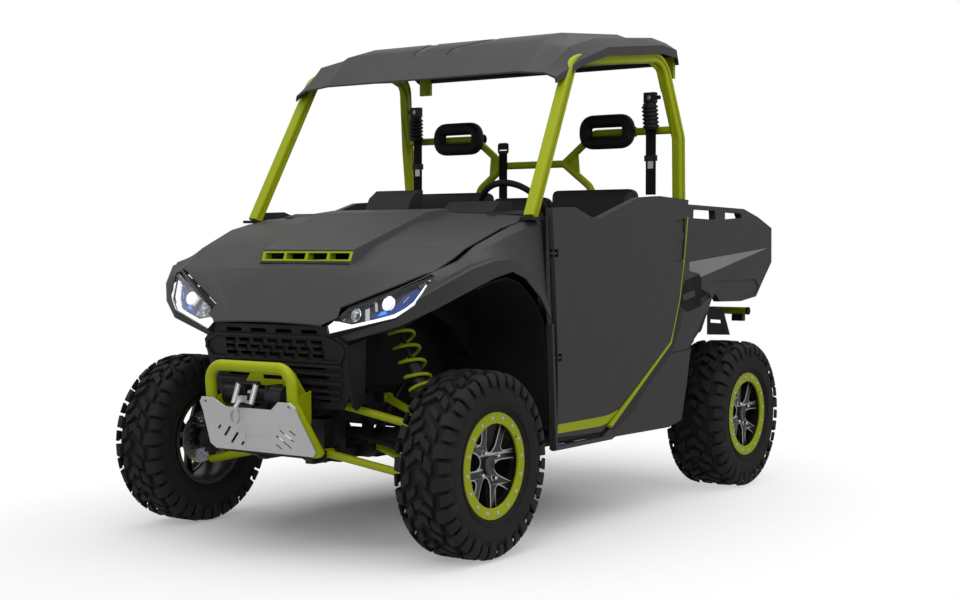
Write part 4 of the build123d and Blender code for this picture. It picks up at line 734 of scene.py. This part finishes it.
# ---- suspension: coil springs with closed ends ----
SHOCKS = [((0.338, -1.05, 0.893), (0.528, -1.05, 0.500)), ((0.300, 1.05, 0.800), (0.452, 1.05, 0.490))]
WIRE = 0.0066
COIL = 0.0450
COIL_TURNS = 6.4
COIL_STEPS = 115        # stretches of wire
FLAT_TURNS = 0.9        # closed turns at each end
FLAT_PITCH = 2 * WIRE * 0.35
TOP_GAP = 0.0395        # from the top eye to the coil
FOOT_GAP = 0.1195       # from the coil to the bottom eye


def coil_points(a, b):
    """The wire's centre line between a shock's top and bottom eye."""
    axis = (b - a).normalized()
    run = (b - a).length - FOOT_GAP - TOP_GAP
    u = axis.cross(Vector((0, 1, 0))).normalized()
    v = axis.cross(u)
    flat = FLAT_TURNS * FLAT_PITCH
    points = []
    for i in range(COIL_STEPS + 1):
        turn = COIL_TURNS * i / COIL_STEPS
        if turn < FLAT_TURNS:
            rise = turn * FLAT_PITCH
        elif turn > COIL_TURNS - FLAT_TURNS:
            rise = run - (COIL_TURNS - turn) * FLAT_PITCH
        else:
            rise = flat + (run - 2 * flat) * (turn - FLAT_TURNS) / (COIL_TURNS - 2 * FLAT_TURNS)
        angle = -2 * math.pi * turn
        points.append(a + axis * (TOP_GAP + rise) + (u * math.cos(angle) + v * math.sin(angle)) * COIL)
    return points


def springs():
    coils, eyes, sleeves = bmesh.new(), bmesh.new(), bmesh.new()
    sleeve = [(0.0, 0.020), (0.004, 0.0265), (0.150, 0.0265), (0.152, 0.0285), (0.160, 0.0285),
              (0.162, 0.020)]
    collar = [(0.0, 0.019), (0.002, 0.0215), (0.026, 0.0215), (0.028, 0.018)]
    eye = [(0, 0.010), (0.001, 0.012), (0.044, 0.012), (0.045, 0.010)]
    for top, bottom in SHOCKS:
        for s in (1, -1):
            a, b = Vector((s * top[0], *top[1:])), Vector((s * bottom[0], *bottom[1:]))
            axis = (b - a).normalized()
            add_tube(coils, coil_points(a, b), WIRE, 10)
            add_turned(sleeves, b - axis * 0.222, axis, sleeve, 28)
            add_turned(eyes, b - axis * 0.036, axis, collar)
            add_turned(eyes, b - Vector((0, 0.0225, 0)), (0, 1, 0), eye, 20)
    from_bmesh(coils, "springs_look", "lime", "chassis", angle=60, replaces=["springs"], slot="lime_steel")
    from_bmesh(eyes, "shock_collars", "bright", "chassis", angle=30, slot="steel")
    from_bmesh(sleeves, "shock_bodies", "black_steel", "chassis", angle=30, slot="black_steel")


springs()


# ---- headlamps ----
def lamp_point(x, z, depth, s):
    """A point behind the lens plane, from its place seen from the front."""
    normal = Vector((0.1502, -0.8614, 0.4853))
    y = -1.362 + (0.1743 * (x - 0.276) + 0.5634 * (z - 0.842))
    p = Vector((x, y, z)) - normal * depth
    return Vector((s * p.x, p.y, p.z))


LENS = [(0.280, 0.842), (0.304, 0.866), (0.342, 0.899), (0.424, 0.931), (0.493, 0.960), (0.573, 0.996),
        (0.634, 1.022), (0.639, 1.016), (0.604, 0.918), (0.545, 0.873), (0.302, 0.813)]
LAMP_GUIDE = [(0.286, 0.843), (0.303, 0.860), (0.322, 0.859), (0.380, 0.8495), (0.470, 0.871), (0.534, 0.889),
              (0.572, 0.912), (0.5745, 0.902), (0.543, 0.8775), (0.303, 0.818)]
LAMP_FIN = [(0.568, 0.903), (0.596, 0.928), (0.622, 0.992), (0.618, 0.994), (0.592, 0.932), (0.566, 0.908)]
LAMP_BLUE = [(0.448, 0.874), (0.532, 0.894), (0.571, 0.928), (0.596, 0.974), (0.583, 0.983), (0.538, 0.952),
             (0.512, 0.908), (0.482, 0.902), (0.440, 0.892)]
LAMP_GLOW = [(0.466, 0.884), (0.500, 0.892), (0.492, 0.903), (0.474, 0.899)]
LAMP_CHROME = [  # bright facets: outline and depth
    ([(0.284, 0.846), (0.303, 0.866), (0.309, 0.868), (0.304, 0.861), (0.288, 0.846)], 0.005),
    ([(0.397, 0.925), (0.413, 0.930), (0.437, 0.870), (0.421, 0.866)], 0.020),
    ([(0.437, 0.930), (0.446, 0.933), (0.461, 0.900), (0.453, 0.898)], 0.012),
    ([(0.466, 0.947), (0.492, 0.957), (0.485, 0.948), (0.470, 0.943)], 0.009),
    ([(0.428, 0.930), (0.440, 0.935), (0.442, 0.931), (0.430, 0.926)], 0.009),
    ([(0.612, 1.008), (0.633, 1.018), (0.628, 1.006)], 0.009),
    ([(0.552, 0.930), (0.566, 0.952), (0.563, 0.953), (0.549, 0.932)], 0.011),
    ([(0.326, 0.884), (0.331, 0.886), (0.336, 0.868), (0.332, 0.867)], 0.018),
]
LAMP_BROW = [(0.308, 0.868), (0.342, 0.897), (0.424, 0.929), (0.493, 0.958), (0.573, 0.994), (0.634, 1.020),
             (0.632, 1.036), (0.566, 1.012), (0.486, 0.976), (0.416, 0.948), (0.334, 0.914)]
LAMP_TURN = [(0.582, 0.995), (0.612, 1.009), (0.618, 0.998), (0.598, 0.982)]


def inset(points, distance):
    """A closed outline, anticlockwise or clockwise, moved inwards."""
    area = sum(a[0] * b[1] - b[0] * a[1] for a, b in zip(points, points[1:] + points[:1]))
    turn = 1 if area > 0 else -1
    out = []
    for i, p in enumerate(points):
        p = Vector(p)
        a = (p - Vector(points[i - 1])).normalized()
        b = (Vector(points[(i + 1) % len(points)]) - p).normalized()
        na, nb = Vector((-a.y, a.x)) * turn, Vector((-b.y, b.x)) * turn
        out.append(tuple(p + (na + nb) * distance / max(0.25, 1 + na.dot(nb))))
    return out


def add_frame(bm, points, wall, low, high, place):
    """A prism's wall, open in the middle."""
    inner = inset(points, wall)
    corners = ((points, low), (points, high), (inner, high), (inner, low))
    stitch(bm, [[bm.verts.new(place(u, v, w)) for u, v in ring] for ring, w in corners], closed=True)


# a projector with its white lens, and a bowl beside it: x, z, bowl radius, lens radius and depth, piece
LAMP_BOWLS = [(0.491, 0.928, 0.0285, 0.0262, 0.004, "projectors"),
              (0.380, 0.885, 0.0250, 0.010, 0.013, "tray")]


def headlamps():
    kinds = ("shell", "tray", "lens", "guides", "accents", "glow", "chrome", "projectors")
    bm = {name: bmesh.new() for name in kinds}
    for s in (1, -1):
        def flat(u, v, w):
            return lamp_point(u, v, w, s)

        add_frame(bm["shell"], LENS, 0.0035, 0.0042, 0.050, flat)
        for kind, outline, low, high in (
            ("shell", LENS, 0.046, 0.078),
            ("shell", LAMP_BROW, 0.016, 0.020),
            ("tray", inset(LENS, 0.006), 0.028, 0.046),
            ("lens", inset(LENS, 0.0005), 0.0, 0.0034),
            ("guides", LAMP_GUIDE, 0.0055, 0.020),
            ("guides", LAMP_FIN, 0.0055, 0.040),
            ("accents", LAMP_BLUE, 0.014, 0.028),
            ("glow", LAMP_GLOW, 0.0125, 0.015),
            ("tray", LAMP_TURN, 0.010, 0.03),
            *[("chrome", outline, depth, depth + 0.014) for outline, depth in LAMP_CHROME],
        ):
            add_prism(bm[kind], outline, low, high, flat)
        axis = Vector((s * 0.10, 0.90, -0.30)).normalized()
        for x, z, r, size, deep, kind in LAMP_BOWLS:
            mouth = lamp_point(x, z, 0.010, s)
            bowl = [(0.0, r), (-0.0015, r * 0.93), (0.006, r * 0.86), (0.014, r * 0.66), (0.019, r * 0.4),
                    (0.020, 0.001)]
            add_turned(bm["chrome"], mouth, axis, bowl, 32, caps=False)
            dome = [(deep - size * 0.42 * math.sin(t), size * math.cos(t))
                    for t in [i * math.pi / 16 for i in range(9)]]
            add_turned(bm[kind], mouth, axis, [(deep + 0.006, size)] + dome, 32)
    from_bmesh(bm["shell"], "lamp_shells", "black", "chassis", replaces=["headlamp_housings"],
               slot="black_plastic")
    from_bmesh(bm["tray"], "lamp_trays", "speckled", "chassis", slot="black_plastic")
    from_bmesh(bm["lens"], "lamp_lenses", "lens", "chassis", bevel=0.0006, replaces=["headlamp_lenses"],
               slot="lens")
    from_bmesh(bm["guides"], "lamp_guides", "white_light", "chassis", bevel=0.0008,
               replaces=["headlamp_strips"], slot="lamp_white")
    from_bmesh(bm["accents"], "lamp_accents", "blue", "chassis", bevel=0.0012)
    from_bmesh(bm["glow"], "lamp_glow", "light_blue", "chassis")
    from_bmesh(bm["chrome"], "lamp_bowls", "chrome", "chassis", angle=35)
    from_bmesh(bm["projectors"], "lamp_projectors", "white_light", "chassis", angle=40, slot="lamp_white")


headlamps()


# ---- padded pieces ----
PAD_RADIUS = 0.034
CROWN = 0.010           # rise of a pad's middle
SEWN = 0.007            # depth of a sewn channel


def rounded_box(half, radius, counts):
    """A closed rounded box about the origin, with counts of faces along X, Y and Z."""
    bm = bmesh.new()
    inner = [h - radius for h in half]
    verts = {}

    def vert(index):
        if index not in verts:
            q = Vector([(2 * i / n - 1) * h for i, n, h in zip(index, counts, half)])
            c = Vector([max(-m, min(m, x)) for x, m in zip(q, inner)])
            d = q - c
            verts[index] = bm.verts.new(c + d.normalized() * radius if d.length > 1e-9 else q)
        return verts[index]

    for fixed, p, q in ((2, 0, 1), (1, 0, 2), (0, 1, 2)):
        for at in (0, counts[fixed]):
            for a in range(counts[p]):
                for b in range(counts[q]):
                    corners = []
                    for da, db in ((0, 0), (1, 0), (1, 1), (0, 1)):
                        index = [at, at, at]
                        index[p], index[q] = a + da, b + db
                        corners.append(vert(tuple(index)))
                    bm.faces.new(corners)
    return bm


def pad(name, centre, half, turn, channels, bolster, replaces=()):
    """A stuffed pad: crowned face, sewn channels across it and a raised bolster along each side.
    Its thickness runs along local Z, its length along local Y; turn tips it about X."""
    bm = rounded_box(half, PAD_RADIUS, (22, 26, 6))
    spin = Matrix.Rotation(turn, 3, "X")
    for v in bm.verts:
        u, w, t = v.co.x / half[0], v.co.y / half[1], v.co.z / half[2]
        if t > 0:
            lift = CROWN * (1 - u * u) * (1 - w * w)
            for at in channels:
                lift -= SEWN * math.exp(-(((w - at) / 0.035) ** 2)) * max(0.0, 1 - abs(u) ** 6)
            lift += bolster * math.exp(-(((abs(u) - 0.84) / 0.13) ** 2)) * (1 - w**4)
            lift -= 0.35 * bolster * math.exp(-(((abs(u) - 0.64) / 0.03) ** 2)) * (1 - w**4)
            v.co.z += lift * t
        # sides pull in between the corners
        v.co.x *= 1 - 0.018 * (1 - w * w) * abs(u)
        v.co = spin @ v.co + Vector(centre)
    obj = from_bmesh(bm, name, "vinyl", "chassis", angle=60, subdivide=1, replaces=replaces, slot="vinyl")
    # piping round the upper edge
    loop = []
    hx, hy = half[0] - 0.006, half[1] - 0.006
    for x, y in rounded([(-hx, -hy), (hx, -hy), (hx, hy), (-hx, hy)], PAD_RADIUS * 0.8, 5):
        pull = 1 - 0.018 * (1 - (y / hy) ** 2)
        loop.append(spin @ Vector((x * pull, y, half[2] - PAD_RADIUS * 0.42)) + Vector(centre))
    bm = bmesh.new()
    add_tube(bm, loop + loop[:1], 0.0028, 8)
    from_bmesh(bm, name + "_piping", "vinyl", "chassis", angle=60, slot="vinyl")


SEATS = [("right", -0.384, 0.216, 1.374), ("middle", 0.0, 0.156, 1.345), ("left", 0.384, 0.216, 1.374)]
BACK_TURN = math.radians(90) - 0.5 * math.atan2(0.075, 0.43)
for i, (label, x, half_x, top) in enumerate(SEATS):
    pad(f"seat_cushion_{label}", (x, 0.141, 0.851), (half_x - 0.003, 0.174, 0.046), math.radians(-1.5),
        (-0.35, 0.0, 0.35), 0.008, () if i else ["seat_cushions"])
    height = (top - 0.874) / 2
    pad(f"seat_back_{label}", (x, 0.338, 0.880 + height), (half_x - 0.003, height, 0.040), BACK_TURN,
        (-0.5, -0.2, 0.1, 0.4), 0.010, () if i else ["seat_backs"])


def headrest(side):
    """A foam ring round an oval slot, with a sewn seam, on two clips."""
    cx, cz = SIDES[side] * 0.409, 1.639
    half_x, half_z = 0.1105, 0.0490
    path = rounded([(-half_x, -half_z), (half_x, -half_z), (half_x, half_z), (-half_x, half_z)], 0.048, 8)
    bm = bmesh.new()
    rings = []
    for i, (x, z) in enumerate(path):
        before, after = path[i - 1], path[(i + 1) % len(path)]
        along = Vector((after[0] - before[0], 0, after[1] - before[1])).normalized()
        out = Vector((along.z, 0, -along.x))
        ring = []
        for t in angles(16):
            squeeze = 1 - 0.10 * max(0.0, math.cos(t)) ** 8       # seam on the outer edge
            ring.append(bm.verts.new(Vector((cx + x, 0.4165, cz + z)) + out * 0.0315 * math.cos(t) * squeeze
                                     + Vector((0, 1, 0)) * 0.0285 * math.sin(t)))
        rings.append(ring)
    stitch(bm, rings, closed=True)
    obj = from_bmesh(bm, f"headrest_pad_{side}", "rubber", "chassis", angle=60, subdivide=1, slot="rubber",
                     replaces=["headrests"] if side == "left" else ())
    bm = bmesh.new()
    for x in (cx - 0.118, cx + 0.118):
        add_turned(bm, (x - 0.011, 0.447, 1.636), (1, 0, 0),
                   [(0, 0.0178), (0, 0.0225), (0.022, 0.0225), (0.022, 0.0178)], 28, closed=True)
        add_box(bm, (x - 0.011, 0.424, 1.628), (x + 0.011, 0.4295, 1.652))
    from_bmesh(bm, f"headrest_clips_{side}", "black_steel", "chassis", bevel=0.001, slot="black_steel")


for side in SIDES:
    headrest(side)


# ---- seat belts ----
def strap(bm, points, width):
    """A flat webbing strap along points."""
    across = Vector((1, 0, 0))
    points = [Vector(p) for p in points]
    rows = []
    for i, p in enumerate(points):
        along = (points[min(i + 1, len(points) - 1)] - points[max(i - 1, 0)]).normalized()
        normal = along.cross(across).normalized()
        rows.append([bm.verts.new(p + across * (sx * width / 2) + normal * (sn * 0.0008))
                     for sx, sn in ((-1, -1), (1, -1), (1, 1), (-1, 1))])
    stitch(bm, rows)


def belts():
    hard, soft, plain = bmesh.new(), bmesh.new(), bmesh.new()
    for s in (1, -1):
        low, high = Vector((s * 0.646, 0.392, 1.636)), Vector((s * 0.641, 0.384, 1.753))
        length = (high - low).length
        step = (length - 0.016) / 6
        profile = [(0.0, 0.020), (0.004, 0.029)]
        for i in range(6):
            at = 0.008 + i * step
            profile += [(at, 0.029), (at + step * 0.22, 0.0358), (at + step * 0.62, 0.0358),
                        (at + step * 0.84, 0.029)]
        profile += [(length - 0.002, 0.030), (length, 0.022)]
        add_turned(hard, low, high - low, profile, 28)
        add_box(hard, (s * 0.642 - 0.028, 0.377, 1.753), (s * 0.642 + 0.028, 0.404, 1.799))
        add_turned(hard, (s * 0.655, 0.392, 1.776), (s, 0, 0), [(0, 0.009), (0.034, 0.009)], 16)
        add_bolt(plain, (s * 0.642, 0.377, 1.776), (0, -1, 0), 0.007)
        strap(soft, [(s * 0.640, 0.3995, z) for z in (1.648, 1.60, 1.56, 1.50, 1.44, 1.40, 1.353)], 0.050)
        # tongue waiting on the strap
        add_box(hard, (s * 0.640 - 0.030, 0.3925, 1.500), (s * 0.640 + 0.030, 0.4055, 1.526))
        add_box(plain, (s * 0.640 - 0.0135, 0.3965, 1.468), (s * 0.640 + 0.0135, 0.3990, 1.500))
    # middle belt's guide, with its slot
    outline = rounded([(-0.030, 1.560), (0.030, 1.560), (0.030, 1.612), (-0.030, 1.612)], 0.014)
    slot = rounded([(-0.022, 1.572), (-0.022, 1.580), (0.022, 1.580), (0.022, 1.572)], 0.004)
    mesh = outlined("guide", [outline, slot], 0.006, 0.0012)
    for v in mesh.vertices:
        u, w, h = v.co
        v.co = Vector((-0.158 + u, 0.4265 + h, w))
    shaded(mesh, 30)
    made_object("belt_guide", mesh, "black", "chassis", slot="black_plastic")
    strap(soft, [(-0.158, 0.4255, z) for z in (1.576, 1.54, 1.50, 1.45, 1.40, 1.353)], 0.046)
    from_bmesh(hard, "belt_reels", "black", "chassis", angle=35, bevel=0.0015, slot="black_plastic",
               replaces=["seat_belts"])
    from_bmesh(soft, "belt_straps", "webbing", "chassis", angle=30, slot="webbing")
    from_bmesh(plain, "belt_metal", "steel", "chassis", angle=30, slot="steel")


belts()


# ---- steering wheel ----
WHEEL_CENTRE = Vector((0.330, -0.205, 1.250))
WHEEL_RAKE = math.radians(33)
WHEEL_AXIS = Vector((0, math.cos(WHEEL_RAKE), math.sin(WHEEL_RAKE)))      # towards the driver
WHEEL_UP = Vector((1, 0, 0)).cross(WHEEL_AXIS)
WHEEL_SPOKES = (270, 8, 172)        # degrees


def steering_wheel():
    def place(u, v, w):
        return WHEEL_CENTRE + Vector((u, 0, 0)) + WHEEL_UP * v + WHEEL_AXIS * w

    bm = bmesh.new()
    rings = []
    for t in angles(72):
        # the grip is slightly thicker at the sides, at the top and at the bottom
        grip = 0.0132 + 0.0008 * math.cos(2 * t) ** 2
        ring = []
        for a in angles(14):
            r = 0.1660 + grip * math.cos(a)
            ring.append(bm.verts.new(place(r * math.cos(t), r * math.sin(t), grip * 0.98 * math.sin(a))))
        rings.append(ring)
    stitch(bm, rings, closed=True)
    from_bmesh(bm, "steering_rim", "rubber", "steering_wheel", angle=60, replaces=["steering_wheel"],
               slot="rubber")
    bm = bmesh.new()
    for turn in WHEEL_SPOKES:
        out = Vector(polar(1, turn))
        side = Vector((-out.y, out.x))
        rows = []
        for r, half, drop in ((0.030, 0.024, -0.016), (0.070, 0.017, -0.014), (0.120, 0.014, -0.006),
                              (0.158, 0.017, 0.0)):
            rows.append([bm.verts.new(place(*(out * r + side * (sx * half)), drop + rise))
                         for sx, rise in ((-1, -0.0035), (1, -0.0035), (1, 0.0035), (-1, 0.0035))])
        stitch(bm, rows)
    hub = [(0, 0.020), (0.02, 0.024), (0.034, 0.040), (0.052, 0.043), (0.060, 0.038), (0.063, 0.024),
           (0.063, 0.001)]
    add_turned(bm, place(0, 0, -0.055), WHEEL_AXIS, hub, 40)
    from_bmesh(bm, "steering_spokes", "black", "steering_wheel", bevel=0.0015, slot="black_plastic")


steering_wheel()


# ---- body trim ----
DOOR_LINE = [(0.495, 1.258), (0.458, 1.043), (0.420, 0.890), (0.345, 0.716), (-0.165, 0.4033)]
DOOR_FOOT = [(-0.552, 0.405), (-0.227, 0.402), (-0.170, 0.409), (-0.122, 0.4335), (-0.092, 0.4515),
             (-0.088, 0.4575), (-0.126, 0.4490), (-0.165, 0.4430), (-0.212, 0.4405), (-0.552, 0.4395)]
DOOR_EDGE = 0.769       # x of the lime edge's outer face
DOOR_SECTION = [(0.752, 0.370), (0.764, 0.560), (0.772, 0.760), (0.772, 1.180), (0.771, 1.345)]


def skin_x(z):
    """The door's outer face at a height."""
    rows = DOOR_SECTION
    for (x0, z0), (x1, z1) in zip(rows, rows[1:]):
        if z <= z1:
            return x0 + (x1 - x0) * max(0.0, (z - z0) / (z1 - z0))
    return rows[-1][0]


def shifted(points, distance):
    """A line moved sideways, to its left when it runs down and forwards."""
    moved = []
    for i, p in enumerate(points):
        a = Vector(points[max(i - 1, 0)])
        b = Vector(points[min(i + 1, len(points) - 1)])
        if 0 < i < len(points) - 1:
            t0 = (Vector(p) - a).normalized()
            t1 = (b - Vector(p)).normalized()
            t = (t0 + t1).normalized()
            reach = distance / max(0.5, t.dot(t0))
        else:
            t = (b - a).normalized()
            reach = distance
        moved.append((p[0] - t.y * reach, p[1] + t.x * reach))
    return moved


def door_edging():
    """The lime edge that shows in the gap round the door, and the lime foot on the door's face."""
    near, far = shifted(DOOR_LINE, 0.0022), shifted(DOOR_LINE, 0.0150)
    for side, s in SIDES.items():
        bm = bmesh.new()
        rows = []
        for (y0, z0), (y1, z1) in zip(near, far):
            corners = ((skin_x(z0) - 0.012, y0, z0), (DOOR_EDGE, y0, z0), (DOOR_EDGE, y1, z1),
                       (skin_x(z1) - 0.012, y1, z1))
            rows.append([bm.verts.new((s * x, y, z)) for x, y, z in corners])
        stitch(bm, rows)
        from_bmesh(bm, f"door_edging_{side}", "lime", "chassis", bevel=0.001, slot="lime_steel")
        bm = bmesh.new()
        stitch(bm, [[bm.verts.new((s * (skin_x(z) + proud), y, z)) for y, z in DOOR_FOOT]
                    for proud in (0.0009, -0.002)])
        from_bmesh(bm, f"door_foot_{side}", "lime", f"door_{side}", bevel=0.0004, slot="lime_plastic")


door_edging()


# ---- stripe and floor ribs of the bed; insert and plates on the side panels; painted shade in the handle pockets ----
STRIPE = [(0.622, 1.057), (1.458, 1.119), (0.623, 0.967)]
SIDE_DARK = [(0.459, 0.938), (0.476, 0.975), (0.612, 1.0005), (0.640, 0.983), (0.640, 0.915), (0.695, 0.924),
             (0.735, 0.906), (0.695, 0.903), (0.631, 0.895), (0.644, 0.861), (0.500, 0.838), (0.437, 0.864)]
SIDE_PLATE = [(0.456, 0.915), (0.562, 0.932), (0.573, 0.927), (0.574, 0.906), (0.470, 0.889), (0.456, 0.894)]
SIDE_SHADE = [(0.432, 0.8600), (0.4330, 0.8560), (0.3560, 0.7080), (-0.1540, 0.3950), (-0.120, 0.3850),
              (0.013, 0.439), (0.152, 0.541), (0.361, 0.667), (0.446, 0.781), (0.474, 0.8500)]
SIDE_SEAM = [(0.361, 0.667), (0.524, 0.672), (0.615, 0.768), (0.668, 0.850)]
POCKET = [(0.3685, 1.064), (0.3765, 1.2345), (0.4735, 1.248), (0.4615, 1.0615)]


def outwards(s):
    return lambda u, v, w: Vector((s * w, u, v))


def bed_trim():
    for side, s in SIDES.items():
        bm = bmesh.new()
        add_prism(bm, STRIPE, 0.7155, 0.7166, outwards(s))
        from_bmesh(bm, f"bed_stripe_{side}", "stripe", "bed", slot="body_plastic")
    bm = bmesh.new()
    for i in range(9):
        x = -0.60 + 0.15 * i
        profile = [(x - 0.030, 0.9245), (x - 0.022, 0.9285), (x + 0.022, 0.9285), (x + 0.030, 0.9245)]
        add_prism(bm, profile, 0.600, 1.330, lambda u, v, w: Vector((u, w, v)))
    from_bmesh(bm, "bed_floor_ribs", "black", "bed", bevel=0.0012, slot="black_plastic")


def side_trim(side, s):
    seam = shifted(SIDE_SEAM, 0.0011) + shifted(SIDE_SEAM, -0.0011)[::-1]
    plate = rounded(SIDE_PLATE, 0.008, 3)
    for name, points, low, high, mat, bevel, slot in (
        ("side_shade", SIDE_SHADE, 0.7660, 0.7682, "shade", 0.0008, "body_plastic"),
        ("side_seam", seam, 0.7660, 0.7679, "liner", 0.0, "body_plastic"),
        ("side_insert", SIDE_DARK, 0.7670, 0.7688, "liner", 0.0008, "black_plastic"),
        ("side_plate", plate, 0.7685, 0.7705, "body", 0.0008, "body_plastic"),
    ):
        bm = bmesh.new()
        add_prism(bm, points, low, high, outwards(s))
        from_bmesh(bm, f"{name}_{side}", mat, "chassis", bevel=bevel, slot=slot)
    # painted shade: a thin black strip round the floor of each handle pocket, at the foot of its walls
    bm = bmesh.new()
    add_frame(bm, inset(POCKET, 0.0006), 0.0042, 0.7655, 0.7668, outwards(s))
    from_bmesh(bm, f"handle_pocket_shade_{side}", "black", f"door_{side}", slot="black_plastic")
    # cap on the end of the tube that the bed tips on
    bm = bmesh.new()
    cap = [(0.0, 0.0190), (0.0095, 0.0190), (0.0110, 0.0165)]
    add_turned(bm, (s * 0.660, 1.35, 0.812), (s, 0, 0), cap, 28)
    from_bmesh(bm, f"bed_tube_cap_{side}", "rubber", "chassis", slot="rubber")


bed_trim()
for side, s in SIDES.items():
    side_trim(side, s)


# ---- grille: staggered ledges and bars on the front panel's face ----
FASCIA_TILT = math.radians(13)
FASCIA_TOP = (-1.352, 0.838)     # y and z of its top edge


def grille():
    def place(u, v, w):
        return Vector((u, FASCIA_TOP[0] - v * math.sin(FASCIA_TILT) - w * math.cos(FASCIA_TILT),
                       FASCIA_TOP[1] + v * math.cos(FASCIA_TILT) - w * math.sin(FASCIA_TILT)))

    bars = bmesh.new()
    # ledges under the staggered openings, then bars between the long slots
    for v, count in ((-0.0725, 7), (-0.0985, 8), (-0.1245, 7)):
        for i in range(count):
            u = (i - (count - 1) / 2) * 0.5 / count
            ledge = [(u - 0.023, v - 0.0040), (u + 0.023, v - 0.0040), (u + 0.019, v + 0.0035),
                     (u - 0.019, v + 0.0035)]
            add_prism(bars, ledge, -0.001, 0.0110, place)
    for v, half, deep in ((-0.147, 0.322, 0.014), (-0.178, 0.320, 0.011), (-0.214, 0.314, 0.013),
                          (-0.245, 0.304, 0.009), (-0.271, 0.294, 0.009)):
        bar = [(-half, v - 0.006), (half, v - 0.006), (half - 0.004, v + 0.005), (-half + 0.004, v + 0.005)]
        add_prism(bars, bar, -0.001, deep, place)
    # frame of the opening
    add_frame(bars, [(-0.336, -0.064), (-0.266, -0.036), (0.266, -0.036), (0.336, -0.064), (0.346, -0.096),
                     (0.318, -0.138), (-0.318, -0.138), (-0.346, -0.096)], 0.010, 0.0, 0.009, place)
    from_bmesh(bars, "grille_bars", "black", "chassis", bevel=0.0008, slot="black_plastic")
    # air baffle behind the upper slots
    bm = bmesh.new()
    add_box(bm, (-0.300, -1.300, 0.785), (0.300, -1.296, 0.852))
    from_bmesh(bm, "nose_baffle", "liner", "chassis", bevel=0.001, slot="black_plastic")


grille()


# ---- floor, light and camera ----
def vector_math(tree, operation, *values):
    made = tree.nodes.new("ShaderNodeVectorMath")
    made.operation = operation
    for socket, value in zip(made.inputs, values):
        feed(tree, socket, value)
    return made.outputs


def floor():
    bm = bmesh.new()
    bmesh.ops.create_circle(bm, cap_ends=True, segments=96, radius=9.0)
    obj = linked("floor", mesh_of(bm, "floor"))
    made, tree, surface, _ = shader("studio_floor", specular=0.05)
    fill(tree, surface, Base_Color=(0.93, 0.93, 0.935, 1.0), Roughness=0.9)
    # fades into the white backdrop away from the vehicle
    at = tree.nodes.new("ShaderNodeNewGeometry").outputs["Position"]
    moved = vector_math(tree, "MULTIPLY_ADD", at, (1.0, 0.6, 0.0), (0.0, 0.3, 0.0))[0]
    share = ranged(tree, vector_math(tree, "LENGTH", moved)["Value"], 0.06, 1.0, 0.40, 1.75)
    clear = tree.nodes.new("ShaderNodeBsdfTransparent")
    fill(tree, tree.nodes["Material Output"], Surface=blended(tree, share, surface, clear))
    obj.data.materials.append(made)


def backdrop():
    """White where the camera sees it, and a soft grey dome that lights the vehicle."""
    world = bpy.data.worlds.new("studio")
    bpy.context.scene.world = world
    world.use_nodes = True
    tree = world.node_tree
    where = tree.nodes.new("ShaderNodeTexCoord").outputs["Generated"]
    split = node(tree, "ShaderNodeSeparateXYZ", Vector=where)
    dome = fill(tree, tree.nodes["Background"], Color=WHITE,
                Strength=ranged(tree, split.outputs["Z"], 0.16, 0.82, -0.1, 0.9))
    white = node(tree, "ShaderNodeBackground", Color=WHITE, Strength=1.0)
    path = tree.nodes.new("ShaderNodeLightPath").outputs
    seen = computed(tree, "MAXIMUM", path["Is Camera Ray"], path["Is Transmission Ray"])
    glossy = computed(tree, "MULTIPLY", path["Is Glossy Ray"], 0.35)
    share = computed(tree, "MAXIMUM", seen, glossy)
    fill(tree, tree.nodes["World Output"], Surface=blended(tree, share, dome, white))


def soft_light(name, at, aim, size, power):
    data = bpy.data.lights.new(name, "AREA")
    data.shape = "RECTANGLE"
    data.size, data.size_y = size
    data.energy = power
    obj = linked(name, data)
    obj.location = at
    obj.rotation_euler = (Vector(aim) - Vector(at)).to_track_quat("-Z", "Y").to_euler()


def camera():
    yaw, pitch = math.radians(34.86), math.radians(1.97)
    aim = Vector((-math.sin(yaw) * math.cos(pitch), math.cos(yaw) * math.cos(pitch), -math.sin(pitch)))
    data = bpy.data.cameras.new("camera")
    data.sensor_width = 36.0
    data.lens = 57.48
    data.clip_start, data.clip_end = 0.05, 100.0
    obj = linked("camera", data)
    obj.location = (3.875, -5.554, 1.123)
    obj.rotation_euler = aim.to_track_quat("-Z", "Y").to_euler()
    bpy.context.scene.camera = obj


floor()
backdrop()
soft_light("overhead", (0.6, -0.4, 4.6), (0, 0, 0.6), (4.2, 5.0), 62)
soft_light("front_key", (1.5, -5.2, 3.4), (0, -0.4, 0.9), (3.0, 2.4), 55)
soft_light("side_fill", (5.2, 0.2, 2.2), (0, 0, 0.8), (3.4, 2.0), 30)
camera()
bpy.context.scene.view_settings.view_transform = "Standard"

bpy.context.view_layer.update()
